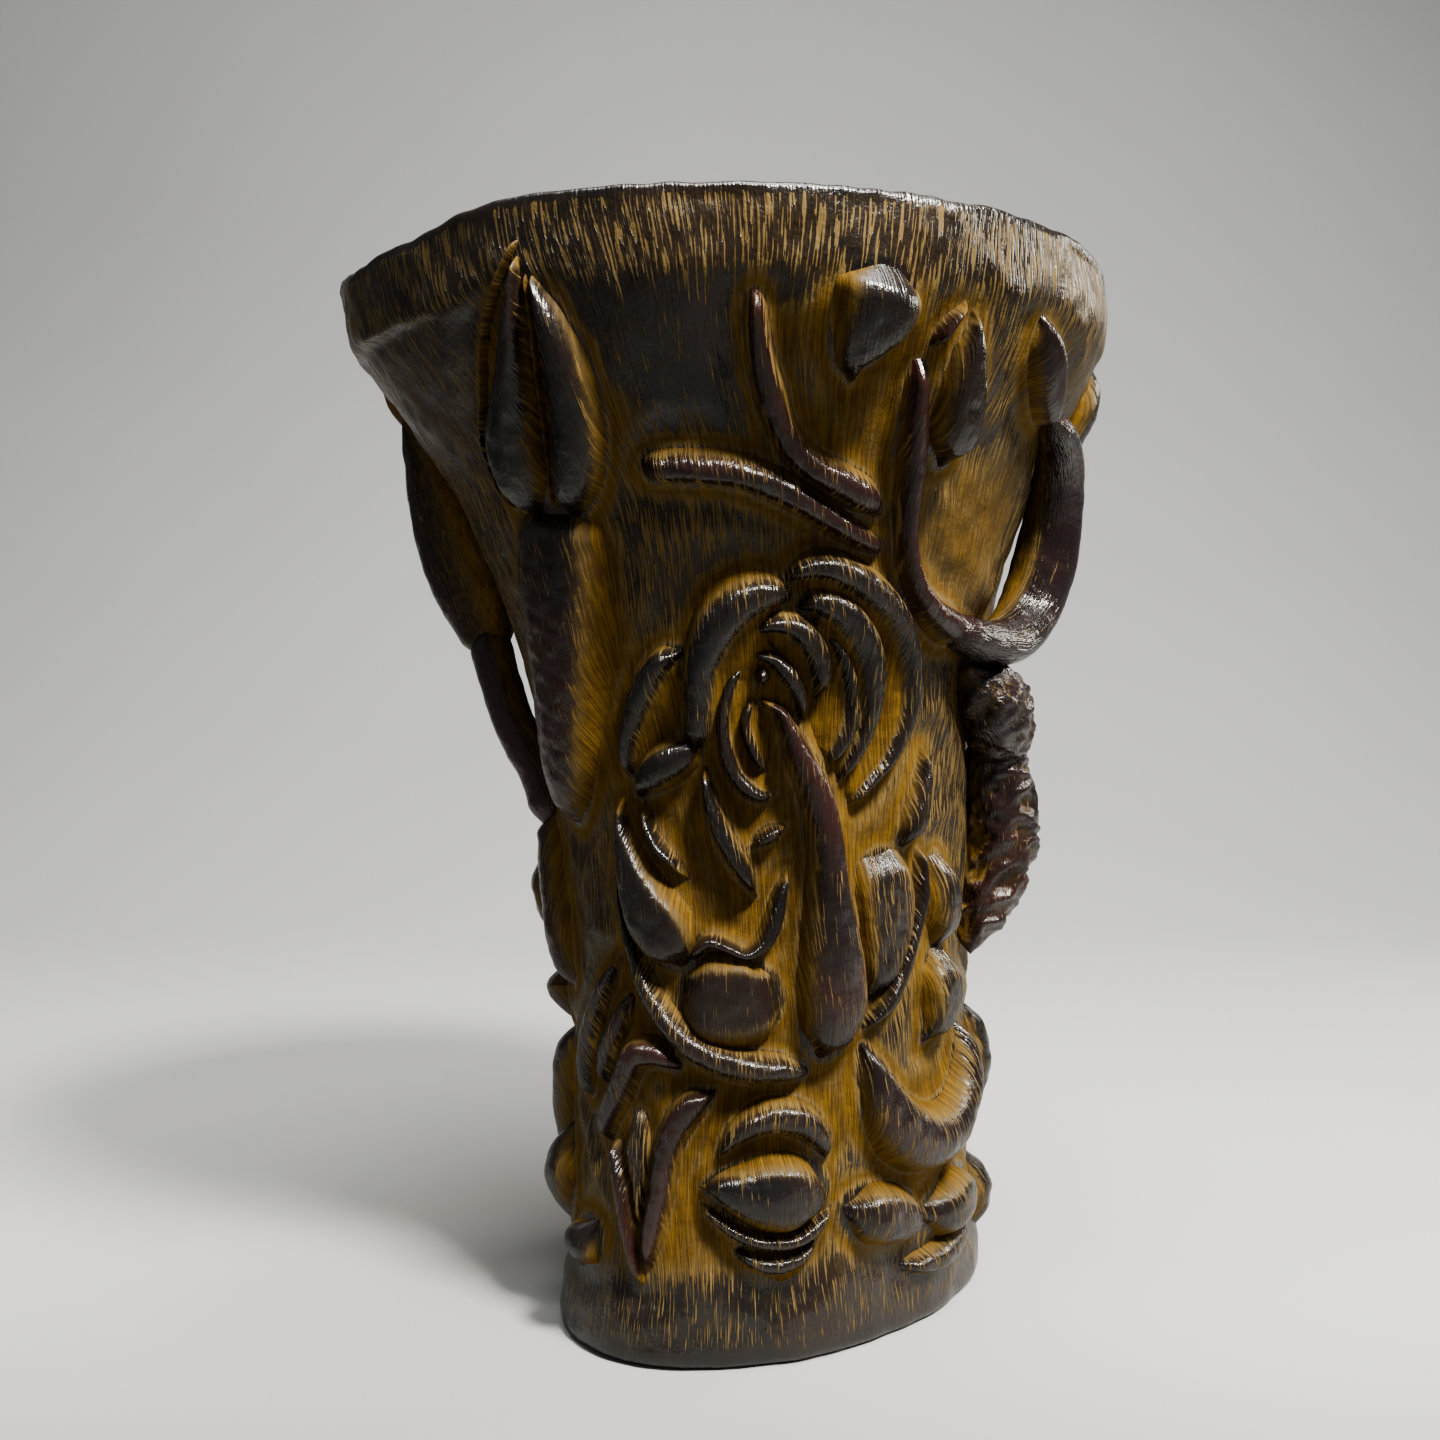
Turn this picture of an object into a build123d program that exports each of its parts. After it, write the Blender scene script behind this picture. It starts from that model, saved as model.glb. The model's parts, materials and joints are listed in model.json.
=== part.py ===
from build123d import *

# Carved horn drinking cup: a flared, hollow horn wall, a plug that closes its foot, and carved sprays
# seated on it. Millimetres and degrees. +Z is up, the origin is at the middle of the foot on the surface
# that the cup stands on, and the carved front faces -Y. A bearing is 0 at the front, 90 on the right (+X)
# and 180 at the back.

import os
from math import cos, radians, sin

# Wall
CUP_HEIGHT = 140.0
WAIST_HALF_WIDTH = 28.0
RIM_FLARE = 24.0
RIM_BAND = 11.0
FLARE_POWER = 4.6
KNEE_SHARPNESS = 10.0
FOOT_SWELL = 1.8
FOOT_SWELL_HEIGHT = 30.0
DEPTH_RATIO = 0.855
RIM_LEAN = 8.0
LEAN_POWER = 2.1
FOOT_SKEW = 0.33
SKEW_POWER = 1.5
RIM_WALL = 3.2
FOOT_WALL = 6.0
LIP_ROUND = 1.0
FOOT_ROUND = 1.2

# Plug that closes the foot, and the wax bead round its upper edge
PLUG_THICKNESS = 8.0
SEAL_HEIGHT = 1.6
SEAL_WIDTH = 1.8
SEAL_TOP_WIDTH = 0.3
PLUG_CLEARANCE = 0.1

# Film of glue between the wall and a carved piece
GLUE_LINE = 0.15

# Pegs that pin two of the upper buds to the wall
PEG_RADIUS = 0.8
PEG_CLEARANCE = 0.02
PEG_DEPTH = 2.0
PEG_SINK = 0.6

# Heights in the routes are laid out on a wall this tall
LAYOUT_HEIGHT = 140.0

# Shape of the wall's sections: points round each one, and the sections' places as shares of the height
SECTION_POINTS = 16
SECTION_SHARES = (0, 0.03, 0.10, 0.20, 0.35, 0.50, 0.60, 0.70, 0.77, 0.83, 0.88, 0.915, 0.95, 1)
PLUG_SHARES = (0, 0.33, 0.67, 1)
SLOPE_STEP = 0.05

# Shape of a carved ridge's section: how far out its shoulders are, and how high
SHOULDER_OUT = 0.72
SHOULDER_UP = 0.74


def half_width(height):
    """Half the wall's width: a waist, a flare that stops at the upright rim band, and a swelling foot."""
    climb = (height / (CUP_HEIGHT - RIM_BAND)) ** FLARE_POWER
    flare = RIM_FLARE * climb / (1 + climb**KNEE_SHARPNESS) ** (1 / KNEE_SHARPNESS)
    swell = FOOT_SWELL * max(0, 1 - height / FOOT_SWELL_HEIGHT) ** 2
    return WAIST_HALF_WIDTH + flare + swell


def wall_thickness(height):
    """The horn thins evenly from its foot to its rim."""
    return FOOT_WALL + (RIM_WALL - FOOT_WALL) * height / CUP_HEIGHT


def wall_point(bearing, height, inset=0.0):
    """A point on the outside of the wall, or inset towards its axis.

    The wall is an oval that leans left and is skewed low down.
    """
    share = min(1, max(0, height / CUP_HEIGHT))
    width = half_width(height)
    lean = -RIM_LEAN * share**LEAN_POWER
    skew = FOOT_SKEW * (1 - share) ** SKEW_POWER * width
    across, towards = sin(radians(bearing)), cos(radians(bearing))
    x = lean + (width - inset) * across
    y = skew * across * (width - inset) / width - (width * DEPTH_RATIO - inset) * towards
    return Vector(x, y, height)


def wall_slopes(bearing, height):
    """How a point on the wall moves for each degree of bearing and each millimetre of height."""
    along = wall_point(bearing + SLOPE_STEP, height) - wall_point(bearing - SLOPE_STEP, height)
    up = wall_point(bearing, height + SLOPE_STEP) - wall_point(bearing, height - SLOPE_STEP)
    return along * (0.5 / SLOPE_STEP), up * (0.5 / SLOPE_STEP)


def wall_normal(bearing, height):
    """The wall's outward direction."""
    along, up = wall_slopes(bearing, height)
    return along.cross(up).normalized()


def glue_point(bearing, height, step):
    """The point on the glue line that is reached by a short step along the wall."""
    along, up = wall_slopes(bearing, height)
    spread = along.dot(along) * up.dot(up) - along.dot(up) ** 2
    turn = (step.dot(along) * up.dot(up) - step.dot(up) * along.dot(up)) / spread
    climb = (step.dot(up) * along.dot(along) - step.dot(along) * along.dot(up)) / spread
    place = (bearing + turn, height + climb)
    return wall_point(*place) + wall_normal(*place) * GLUE_LINE


def even_spline(points, periodic=False):
    """A spline with evenly spaced parameters, so that all the sections of a loft match."""
    spans = len(points) if periodic else len(points) - 1
    add(Edge.make_spline(points, periodic=periodic, parameters=[i / spans for i in range(spans + 1)]))


def wall_section(height, inset=0.0):
    """One closed cross-section of the wall at a height."""
    with BuildSketch(Plane.XY.offset(height)) as section:
        with BuildLine():
            points = [wall_point(360 * i / SECTION_POINTS, height, inset) for i in range(SECTION_POINTS)]
            even_spline([(p.X, p.Y) for p in points], periodic=True)
        make_face()
    return section.sketch


def laid_out(height):
    """A route's height on this wall."""
    return height * CUP_HEIGHT / LAYOUT_HEIGHT


def peg_plane(bearing, height):
    """A plane on the wall, facing out of it."""
    level = laid_out(height)
    return Plane(origin=wall_point(bearing, level), z_dir=wall_normal(bearing, level))


def centre_line(route):
    """The middle of each station of a route, on the wall or lifted off it."""
    points = []
    for bearing, height, _, _, *lift in route:
        level = laid_out(height)
        points.append(wall_point(bearing, level) + wall_normal(bearing, level) * sum(lift))
    return points


def route_planes(route):
    """A plane square to the route at each station, with its Y direction out of the wall."""
    points = centre_line(route)
    last = len(points) - 1
    planes = []
    for i, (bearing, height, *_) in enumerate(route):
        ahead = (points[min(i + 1, last)] - points[max(i - 1, 0)]).normalized()
        sideways = wall_normal(bearing, laid_out(height)).cross(ahead)
        planes.append(Plane(origin=points[i], x_dir=sideways, z_dir=ahead))
    return planes


def ridge_sections(route):
    """Sections of a ridge that lies on the wall: a rounded crest over a base that follows the glue line."""
    sections = []
    for plane, (bearing, height, half, relief) in zip(route_planes(route), route):
        steps = [plane.x_dir * (share * half) for share in (-1, 0, 1)]
        feet = [plane.to_local_coords(glue_point(bearing, laid_out(height), step)) for step in steps]
        left, middle, right = [(foot.X, foot.Y) for foot in feet]
        out, up = SHOULDER_OUT * half, SHOULDER_UP * relief
        with BuildSketch(plane) as section:
            with BuildLine():
                even_spline([left, middle, right])
                even_spline([right, (out, up), (0, relief), (-out, up), left])
            make_face()
        sections.append(section.sketch)
    return sections


def branch_sections(route):
    """Sections of a branch that stands clear of the wall: an oval at each station."""
    sections = []
    for plane, (_, _, half, thick, _) in zip(route_planes(route), route):
        with BuildSketch(plane) as section:
            Ellipse(half, thick)
        sections.append(section.sketch)
    return sections


def mirrored(route, about, drop=0.0):
    """The same ridge turned left to right about a bearing and moved down."""
    return [(about - bearing, height - drop, *rest) for bearing, height, *rest in route]


# Routes of the carving. Each station is a bearing, a height, half the ridge's width and its relief,
# and for a branch that stands clear also its lift off the wall.

# Tall bud at the upper left with the vein between its petals, its sheath and its stalk
BUD_LEFT = [
    (-26.5, 132.5, 0.5, 1.2),
    (-29.5, 128.8, 1.2, 2.2),
    (-33, 125.5, 2.2, 3),
    (-35.5, 121.5, 2.8, 3.6),
    (-37.5, 118, 3.2, 4),
    (-39, 114, 3.3, 4.2),
    (-40.5, 110.5, 2.7, 3.6),
    (-41.5, 107.5, 1.4, 2.4),
]
BUD_RIGHT = [
    (-25, 128.5, 0.4, 1.2),
    (-24.8, 125, 1.1, 2.4),
    (-24.5, 121.5, 2.2, 3.2),
    (-24.8, 118, 3, 3.8),
    (-26, 114.5, 3.1, 4),
    (-28.5, 111, 2.7, 3.6),
    (-32, 107.8, 1.8, 2.6),
]
BUD_VEIN = [
    (-26.2, 129.6, 0.3, 1.4),
    (-27.2, 126, 0.4, 2),
    (-29.2, 121.5, 0.4, 2.2),
    (-31.6, 115.5, 0.4, 2.2),
    (-33.8, 111, 0.4, 2),
    (-35.4, 108, 0.3, 1.4),
]
BUD_SHEATH = [
    (-26, 135, 0.4, 1.2),
    (-30.4, 131.8, 0.6, 1.8),
    (-38, 127.2, 0.7, 2),
    (-44.2, 121.4, 0.7, 2),
    (-47.5, 115.5, 0.7, 1.8),
    (-49.5, 110.5, 0.6, 1.5),
    (-49.8, 107.5, 0.4, 1),
]
BUD_STALK = [
    (-37.5, 104.6, 4.4, 3.2),
    (-40.5, 99.5, 4.8, 4),
    (-44.5, 92.5, 4.3, 4.4),
    (-49, 85, 3.6, 4.4),
    (-54.5, 77.5, 3.2, 4.2),
    (-58, 71.5, 2.6, 3.4),
    (-59.5, 68, 1.6, 2.2),
]

# Leaf, branch and lobes down the left side
SIDE_LEAF = [
    (-93, 120, 2, 1.8, 1),
    (-94, 113, 4.5, 3.6, 3),
    (-95, 106, 6, 4.6, 4.6),
    (-96, 99, 5.6, 4.6, 5),
    (-96, 94.5, 3.8, 3.6, 5),
    (-95.5, 91.4, 2.6, 2.4, 5),
]
SIDE_BRANCH = [
    (-95.5, 91, 2.6, 2.4, 5),
    (-94.5, 86, 2.6, 2.3, 5),
    (-93, 81, 2.6, 2.3, 4.4),
    (-91, 76.5, 2.8, 2.6, 2.8),
    (-89, 72, 2.6, 2.4, 1.2),
    (-87, 68, 2.2, 2.2, 0.8),
]
SIDE_STEM = [
    (-86, 66.4, 2.2, 3),
    (-84, 61, 2.6, 3.4),
    (-82, 55, 2.6, 3.4),
    (-80, 49.5, 2.2, 3),
    (-78, 45.5, 1.4, 2),
]
SIDE_LOBE_HIGH = [(-99, 63.5, 2.2, 3), (-102, 58, 4, 6.2), (-102, 52.5, 3.8, 5.4), (-99, 48, 2.2, 3)]
SIDE_LOBE_LOW = [(-97, 45.8, 2, 2.6), (-98, 43, 3, 4.2), (-95, 39.6, 2, 3)]
POD_HIGH = [(-88, 37, 1.5, 2), (-93, 32, 2.3, 3.4), (-96.5, 26, 2.5, 3.6), (-97, 20.5, 2, 2.8)]
POD_LOW = [(-85, 24.5, 2, 2.8), (-83, 19.5, 3.2, 4.2), (-82, 14.5, 2, 2.4)]
LEFT_KNOB = [(-60, 15, 1.4, 1.6), (-64, 13, 2.6, 2.8), (-68, 10.5, 1.6, 1.6)]

# Crescent leaf and split leaf at the lower left
CRESCENT_EDGE = [
    (-46, 49.8, 0.5, 1),
    (-50.5, 46.8, 1, 1.8),
    (-56.5, 42.2, 1.2, 2),
    (-62, 36.8, 1.2, 1.8),
    (-64.5, 32, 0.8, 1.2),
]
CRESCENT_BLADE = [(-43, 44.8, 0.9, 1), (-46.8, 41.8, 1.4, 1.6), (-51.4, 38.2, 1.4, 1.6), (-55, 34.4, 0.9, 1)]
SPLIT_HEAD = [
    (-28, 37.4, 0.9, 1.8),
    (-34, 38.9, 1.7, 2.8),
    (-39.5, 38.4, 1.8, 3),
    (-43.4, 35.6, 1.6, 2.9),
    (-47.3, 32.4, 1.5, 2.7),
    (-51, 29.5, 1.2, 2.4),
    (-52.6, 27.2, 0.7, 1.5),
]
SPLIT_LEFT = [
    (-49.5, 26.2, 0.6, 1.4),
    (-47.4, 23.4, 0.9, 1.9),
    (-45.2, 20, 1, 2.1),
    (-43, 15.8, 1, 2.1),
    (-40.8, 12.4, 0.7, 1.6),
    (-39.4, 10.4, 0.4, 1),
]
SPLIT_RIGHT = [
    (-18.5, 34, 0.7, 1.6),
    (-22, 33.2, 1.5, 2.7),
    (-26.5, 31.1, 1.8, 3),
    (-30, 28.1, 1.6, 3),
    (-32, 25, 1.5, 2.8),
    (-33.2, 21.5, 1.4, 2.7),
    (-35, 18, 1.3, 2.5),
    (-36.2, 15, 1.1, 2.2),
    (-36.6, 12.8, 0.7, 1.6),
]
SPLIT_HEART = [(-40.4, 30.6, 1, 1), (-40.6, 26, 1.7, 1.3), (-40.2, 20.8, 0.9, 1.2), (-40, 17.6, 0.4, 1)]

# Lidded bud above the foot
LOW_BUD_LID = [
    (-16.5, 26.6, 0.6, 1.4),
    (-12.5, 28.9, 1.2, 2.4),
    (-7, 30.6, 1.7, 3),
    (-1, 31.2, 2, 3.2),
    (4.5, 30.4, 2, 3.2),
    (8.6, 28.2, 1.5, 2.8),
    (11, 25.8, 0.8, 1.8),
]
LOW_BUD_HEART = [
    (-21, 22.4, 0.4, 1.2),
    (-16.5, 22.5, 1.7, 2.8),
    (-10, 22, 3.1, 3.7),
    (-3, 21.6, 4, 4.1),
    (3, 21.4, 3.8, 4),
    (7.5, 21.2, 2.2, 3.2),
    (10, 21.2, 0.8, 1.8),
]
LOW_BUD_CUP = [
    (-21, 19.8, 0.4, 1.2),
    (-16, 18, 0.6, 1.9),
    (-9.5, 16.2, 0.8, 2.5),
    (-2, 15.4, 0.9, 2.8),
    (4.5, 15.8, 0.9, 2.7),
    (9.3, 17.4, 0.7, 2.1),
    (11.6, 18.4, 0.4, 1.2),
]
LOW_BUD_UNDER = [
    (-11.5, 14.2, 0.6, 1.4),
    (-7, 12.9, 0.9, 2),
    (-2, 12.4, 1.2, 2.2),
    (3.2, 12.9, 1, 2),
    (7.4, 14.2, 0.6, 1.4),
]

# Calyx below the blossom: its rims and broad petals, and the tongue-shaped leaf that crosses it
BOWL_RIM = [
    (-43, 61.5, 0.4, 1.2),
    (-42, 57, 0.6, 1.6),
    (-38.6, 51, 0.9, 2.2),
    (-35, 46.6, 1.2, 2.6),
    (-29.6, 43, 1.4, 2.9),
    (-23, 40.1, 1.6, 3.1),
    (-15.5, 38.4, 1.7, 3.2),
    (-7.5, 37.4, 1.7, 3.2),
    (0.5, 37, 1.4, 2.8),
    (5.6, 36.4, 0.8, 1.8),
]
LEFT_PETAL = [
    (-39.6, 70, 0.3, 1.2),
    (-39.4, 66.6, 0.8, 2.2),
    (-37.6, 62.6, 1.6, 3),
    (-34.4, 58.8, 2.5, 3.5),
    (-30.4, 55.4, 3, 3.7),
    (-26.2, 53.4, 2.2, 3.2),
    (-23.8, 52.6, 1, 2),
]
CENTRE_PETAL = [
    (-24, 46.8, 2.4, 1.8),
    (-20, 46.6, 4.2, 2.6),
    (-13.5, 46.4, 5, 2.9),
    (-8, 46.6, 4.7, 2.8),
    (-4.6, 47, 3, 2.2),
]
CENTRE_HORN = [
    (-2.2, 51.4, 1.2, 2),
    (-1, 54, 1.1, 2.1),
    (0.4, 56.6, 0.9, 1.9),
    (2, 59, 0.7, 1.6),
    (3.4, 61, 0.4, 1.2),
]
TONGUE = [
    (-0.4, 82.8, 0.4, 1.6),
    (2.6, 82, 0.7, 2.6),
    (4.4, 79.8, 1.1, 3.4),
    (6.2, 77.2, 1.5, 4),
    (8, 74.6, 1.8, 4.4),
    (10, 71.6, 2, 4.6),
    (11.6, 68, 2, 4.8),
    (12.3, 63.6, 2.1, 5),
    (12.4, 58.8, 2.5, 5.2),
    (12.7, 54, 3.2, 5.3),
    (13, 49, 3.7, 5.2),
    (12.8, 44, 3.7, 4.8),
    (11.6, 40.8, 2.8, 3.8),
    (10.4, 38.8, 1.4, 2.4),
]
RIGHT_BLADE = [
    (43, 76, 0.4, 1),
    (41.6, 73, 0.9, 2),
    (39.8, 70, 1.3, 2.6),
    (37.8, 67, 1.5, 2.8),
    (36, 64.8, 1.1, 2),
]
RIGHT_PETAL = [
    (30.5, 61.4, 2.2, 1.8),
    (29.4, 58.8, 3.3, 2.8),
    (28.4, 55.6, 3.3, 3),
    (27, 51.8, 2.5, 2.8),
    (25.4, 48.6, 1.6, 2.2),
    (24.2, 46.6, 0.8, 1.2),
]
BOWL_RIGHT = [
    (42.3, 62.8, 0.5, 1.4),
    (41.4, 58, 0.8, 2),
    (38.6, 54, 0.9, 2.3),
    (35.2, 50, 1, 2.4),
    (32, 46.6, 1.1, 2.4),
    (28, 43.6, 1, 2.2),
    (23.4, 41.4, 0.6, 1.4),
]
SEPAL_HIGH = [(50, 61.2, 1.6, 2), (51, 58, 2.3, 2.8), (51.2, 54, 2.4, 2.8), (51, 51, 1.7, 2)]
SEPAL_LOW = [
    (49.8, 49, 2.2, 2.2),
    (49.4, 46, 3.1, 3.4),
    (48.6, 42.6, 3, 3.4),
    (46.4, 39.8, 2.1, 2.6),
    (44, 38.2, 1, 1.4),
]

# Open blossom: curled petals from the outside to the core
PETAL_OUTER = [
    (6.4, 97.8, 0.6, 1.6),
    (9, 98.8, 1, 2.4),
    (13.5, 99.2, 1.3, 3),
    (18.5, 98.2, 1.4, 3.2),
    (24, 96.3, 1.5, 3.3),
    (29.3, 93.6, 1.4, 3.2),
    (33, 90, 1.3, 3),
    (35, 86.2, 1.2, 2.8),
    (35, 82.2, 1.1, 2.5),
    (33, 78.6, 1, 2.2),
    (30, 75.6, 0.8, 1.8),
    (25, 72.6, 0.6, 1.4),
    (20.6, 70.4, 0.4, 1),
]
PETAL_SECOND = [
    (8.6, 94.4, 0.6, 1.8),
    (11.5, 95, 1.2, 2.8),
    (16, 94.2, 1.5, 3.3),
    (20, 92, 1.6, 3.5),
    (23, 89, 1.5, 3.4),
    (24.3, 85.6, 1.4, 3.2),
    (24, 82, 1.2, 2.8),
    (22.5, 78.8, 1, 2.4),
    (20, 75.8, 0.8, 1.8),
    (17.4, 73.4, 0.5, 1.2),
]
PETAL_THIRD = [
    (13.6, 91, 0.4, 1.4),
    (16, 89.6, 0.6, 2),
    (18, 87, 0.8, 2.4),
    (19.2, 83.8, 0.8, 2.6),
    (19, 80.8, 0.9, 2.6),
    (17.2, 78, 0.9, 2.4),
    (15, 76.2, 0.7, 1.8),
    (13.4, 75.2, 0.4, 1.2),
]
PETAL_INNER = [
    (-1.6, 91.2, 0.5, 1.4),
    (1.5, 92.2, 0.8, 2.4),
    (6, 92.2, 1.1, 3),
    (9.2, 91, 1.2, 3.2),
    (11.3, 88.8, 1.2, 3.2),
    (12.3, 86, 1, 2.8),
    (12, 83.8, 0.6, 1.8),
]
PETAL_CROWN = [
    (5.6, 95.4, 0.8, 2),
    (2, 96, 1.4, 3.2),
    (-3, 95.2, 1.7, 4),
    (-7.5, 93, 1.8, 4.3),
    (-11, 90, 1.6, 4.2),
    (-13.5, 86.8, 1.3, 3.8),
    (-15, 83, 1.2, 3.4),
    (-15.6, 79.8, 1.1, 3),
]
PETAL_TAIL = [
    (-17.6, 77.4, 0.9, 2.4),
    (-20.5, 76.4, 1.4, 3),
    (-24.6, 75.4, 1.6, 3.2),
    (-29, 74, 1.4, 2.8),
    (-33, 72.2, 0.7, 1.8),
]
PETAL_FAR = [
    (-18.4, 88.8, 0.7, 2),
    (-21, 88.2, 1.2, 2.9),
    (-24.6, 86.4, 1.4, 3.2),
    (-28, 83.8, 1.4, 3.2),
    (-31.5, 80.6, 1.2, 2.8),
    (-34.5, 77.4, 1, 2.4),
    (-36, 74.8, 0.7, 1.6),
]
FOLD_LOW = [
    (-15.4, 74.2, 0.4, 1.2),
    (-15.2, 72.4, 0.7, 2),
    (-14.4, 70, 1, 2.6),
    (-12.5, 66.8, 1.2, 3),
    (-10, 64, 1.2, 3),
    (-7.2, 61.4, 1, 2.6),
    (-5.2, 59.2, 0.5, 1.4),
]
FOLD_LEFT = [
    (-32.5, 69.8, 0.4, 1.2),
    (-32, 68, 0.6, 1.8),
    (-30.4, 66, 0.7, 2.2),
    (-27.5, 64, 0.8, 2.4),
    (-24.8, 62.6, 0.6, 2),
    (-22.8, 61.2, 0.4, 1.2),
]
SEED = [(-5, 65, 0.4, 1), (-2, 66, 1, 2), (1, 67, 0.8, 1.8), (2.8, 67.4, 0.3, 1)]
CORE_TOP = [
    (-2, 88.6, 0.4, 1.4),
    (2, 88.1, 0.7, 2.2),
    (5.2, 86.2, 0.9, 2.6),
    (7.3, 83.8, 0.8, 2.4),
    (8.3, 81, 0.5, 1.4),
]
CORE_LEFT = [
    (-3.2, 82.8, 0.4, 1.2),
    (-4.4, 81.6, 0.5, 1.6),
    (-5, 79.8, 0.5, 1.8),
    (-4.2, 77.8, 0.6, 2),
    (-2.8, 75.8, 0.5, 1.8),
    (-1.2, 74.4, 0.4, 1.2),
]
CORE_RING = [
    (-4.6, 87, 0.4, 1.2),
    (-7.2, 85.4, 0.6, 1.8),
    (-9.2, 82.8, 0.7, 2.2),
    (-10.2, 79.4, 0.7, 2.2),
    (-9.6, 76.4, 0.8, 2.4),
    (-8, 73.9, 0.8, 2.4),
    (-5, 72, 0.8, 2.4),
    (-1.8, 71.2, 0.6, 1.8),
    (0, 71.4, 0.4, 1.2),
]
CORE_CLOSE = [(8.6, 76.6, 0.5, 1.2), (8.4, 73.2, 0.8, 2), (6, 70.8, 0.8, 2), (3.2, 69.8, 0.5, 1.2)]

# Hooked branch and rockwork above the foot on the right
HOOK_BRANCH = [
    (22.8, 38.2, 0.8, 2),
    (24.4, 35, 1.8, 3.6),
    (27.2, 31.2, 2.7, 4.6),
    (32, 27.6, 3.3, 5.2),
    (39, 25.4, 3.5, 5.4),
    (47, 25.4, 3.3, 5.3),
    (54.5, 27.4, 2.7, 5),
    (60, 31, 2.2, 4.6),
    (62, 35, 1.5, 3.6),
    (62.2, 38, 0.8, 2),
]
ROCK_LEFT = [
    (16.5, 18.2, 1.2, 1.8),
    (21, 17.4, 2.9, 3.4),
    (27.5, 16.4, 3.3, 3.8),
    (34, 15.2, 2.6, 3.2),
    (38.5, 14.6, 1.4, 2),
]
ROCK_RIGHT = [(43.5, 14.5, 2, 2.4), (50, 14.2, 3.3, 3.6), (58, 15, 3.3, 3.6), (65, 16, 1.8, 2.2)]
ROCK_LOW = [(36, 8.2, 1, 1.4), (44, 8, 1.7, 2.2), (54, 8.6, 1.7, 2.2), (62, 9.5, 1, 1.4)]
KNOB_HIGH = [(83, 38, 1.4, 1.8), (85.5, 34, 2.3, 3.4), (85.5, 29, 2.6, 3.8), (84, 24.5, 1.6, 2.2)]
KNOB_LOW = [(84, 16, 1.4, 1.8), (85, 11.5, 2.6, 3.4), (83, 6.5, 1.6, 2.2)]

# Twigs and buds below the rim
TWIG_THICK = [
    (-17, 110.4, 1.2, 2),
    (-9.5, 110.4, 2, 3.2),
    (-1.5, 109.8, 2.2, 3.6),
    (6, 107.8, 2, 3.4),
    (13, 105.2, 1.8, 3),
    (19.6, 102.9, 1.6, 2.6),
    (24.6, 101.4, 1, 1.6),
]
TWIG_THIN = [
    (2.6, 127.6, 0.9, 1.4),
    (2.6, 125.2, 1.1, 1.8),
    (2.8, 122, 1.3, 2.2),
    (4, 118, 1.5, 2.6),
    (5.6, 114.6, 1.5, 3),
    (8, 112, 1.6, 3.3),
    (11.6, 110.2, 1.7, 3.5),
    (16, 108.8, 1.8, 3.5),
    (20.6, 107.2, 1.7, 3.2),
    (23.4, 105.6, 1, 1.8),
]
TRIANGLE_BUD = [
    (16.2, 119.6, 0.6, 1.2),
    (15.6, 121.8, 2, 2.8),
    (16.6, 124.2, 3.7, 4),
    (18, 126.6, 4.9, 4.6),
    (19, 129, 5, 4),
    (19.6, 130.8, 3.2, 2.4),
]
ALMOND_BUD = [
    (34.2, 127.4, 0.4, 1.2),
    (34.1, 124.2, 1.8, 2.8),
    (34.2, 121, 2.8, 3.8),
    (34.7, 117.6, 3.3, 4.3),
    (35.2, 114.4, 2.8, 3.8),
    (35.6, 112, 1.4, 2.2),
]
ALMOND_SHEATH = [(32, 128.4, 0.3, 1.2), (30, 126.2, 0.6, 1.6), (28.6, 124.2, 0.6, 1.6)]
LOOP_STEM = [
    (26.8, 121.4, 0.9, 1.8),
    (27.2, 118.6, 1.3, 2.6),
    (28, 115, 1.5, 3),
    (28.8, 111, 1.5, 3),
    (29.2, 107, 1.4, 3),
    (30.2, 102.6, 1.3, 3),
    (32, 99, 1.3, 3.2),
    (35.4, 96, 1.5, 3.6),
    (41, 93.6, 1.9, 4),
    (48, 92, 2.2, 4),
]
LOOP_BRANCH = [
    (49.4, 91.8, 2.2, 3, 1),
    (60, 90.6, 2.6, 3.2, 2),
    (70, 91.2, 2.8, 3.2, 3.6),
    (78, 95.2, 2.8, 3.2, 5),
    (82, 102, 2.8, 3.4, 5.6),
    (82, 109, 2.8, 3.2, 4.4),
    (78, 114.4, 2.6, 2.8, 2.6),
    (71, 117.2, 2, 2.2, 1.6),
    (66, 118.2, 1.4, 1.6, 1),
]
LOOP_PAD = [
    (48.6, 128.4, 0.8, 1.2),
    (50.4, 126, 2, 2.4),
    (53.4, 123, 2.4, 3),
    (57.4, 120.4, 2.2, 3),
    (61.6, 118.8, 1.6, 2.2),
]
EDGE_BUD = [
    (92, 129, 1.4, 2),
    (93, 125, 2.8, 4.2),
    (94, 120.5, 3, 4.6),
    (94, 116, 2.6, 3.8),
    (93, 112.5, 1.4, 2),
]

# Gnarled branch down the right side
GNARL_HIGH = [
    (62, 85.4, 2.2, 2.6, 1),
    (67, 83.4, 3.8, 4, 2.2),
    (73, 81, 4.4, 4.6, 3),
    (77.6, 78.4, 3.6, 4, 3),
    (79.6, 76.6, 2.8, 3.2, 2.8),
]
GNARL_LOW = [
    (80.9, 74.8, 3, 3.4, 3),
    (82.4, 70.5, 4.2, 4.4, 3.8),
    (83, 63, 4.6, 4.8, 4.4),
    (81, 56, 3.8, 4, 3),
    (76, 49.5, 2, 2.4, 0.8),
]

# Bearings about which front carving is turned over to dress the back
BACK_BUD_ABOUT = 82
BACK_BLOSSOM_ABOUT = 195
BACK_BUDS_ABOUT = 268
BACK_SPLIT_ABOUT = 76
BACK_LOW_BUD_ABOUT = 155
BACK_HOOK_ABOUT = 275
BACK_HOOK_DROP = 3
BACK_ROCK_ABOUT = 250
BACK_ROCK_DROP = 3

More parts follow.
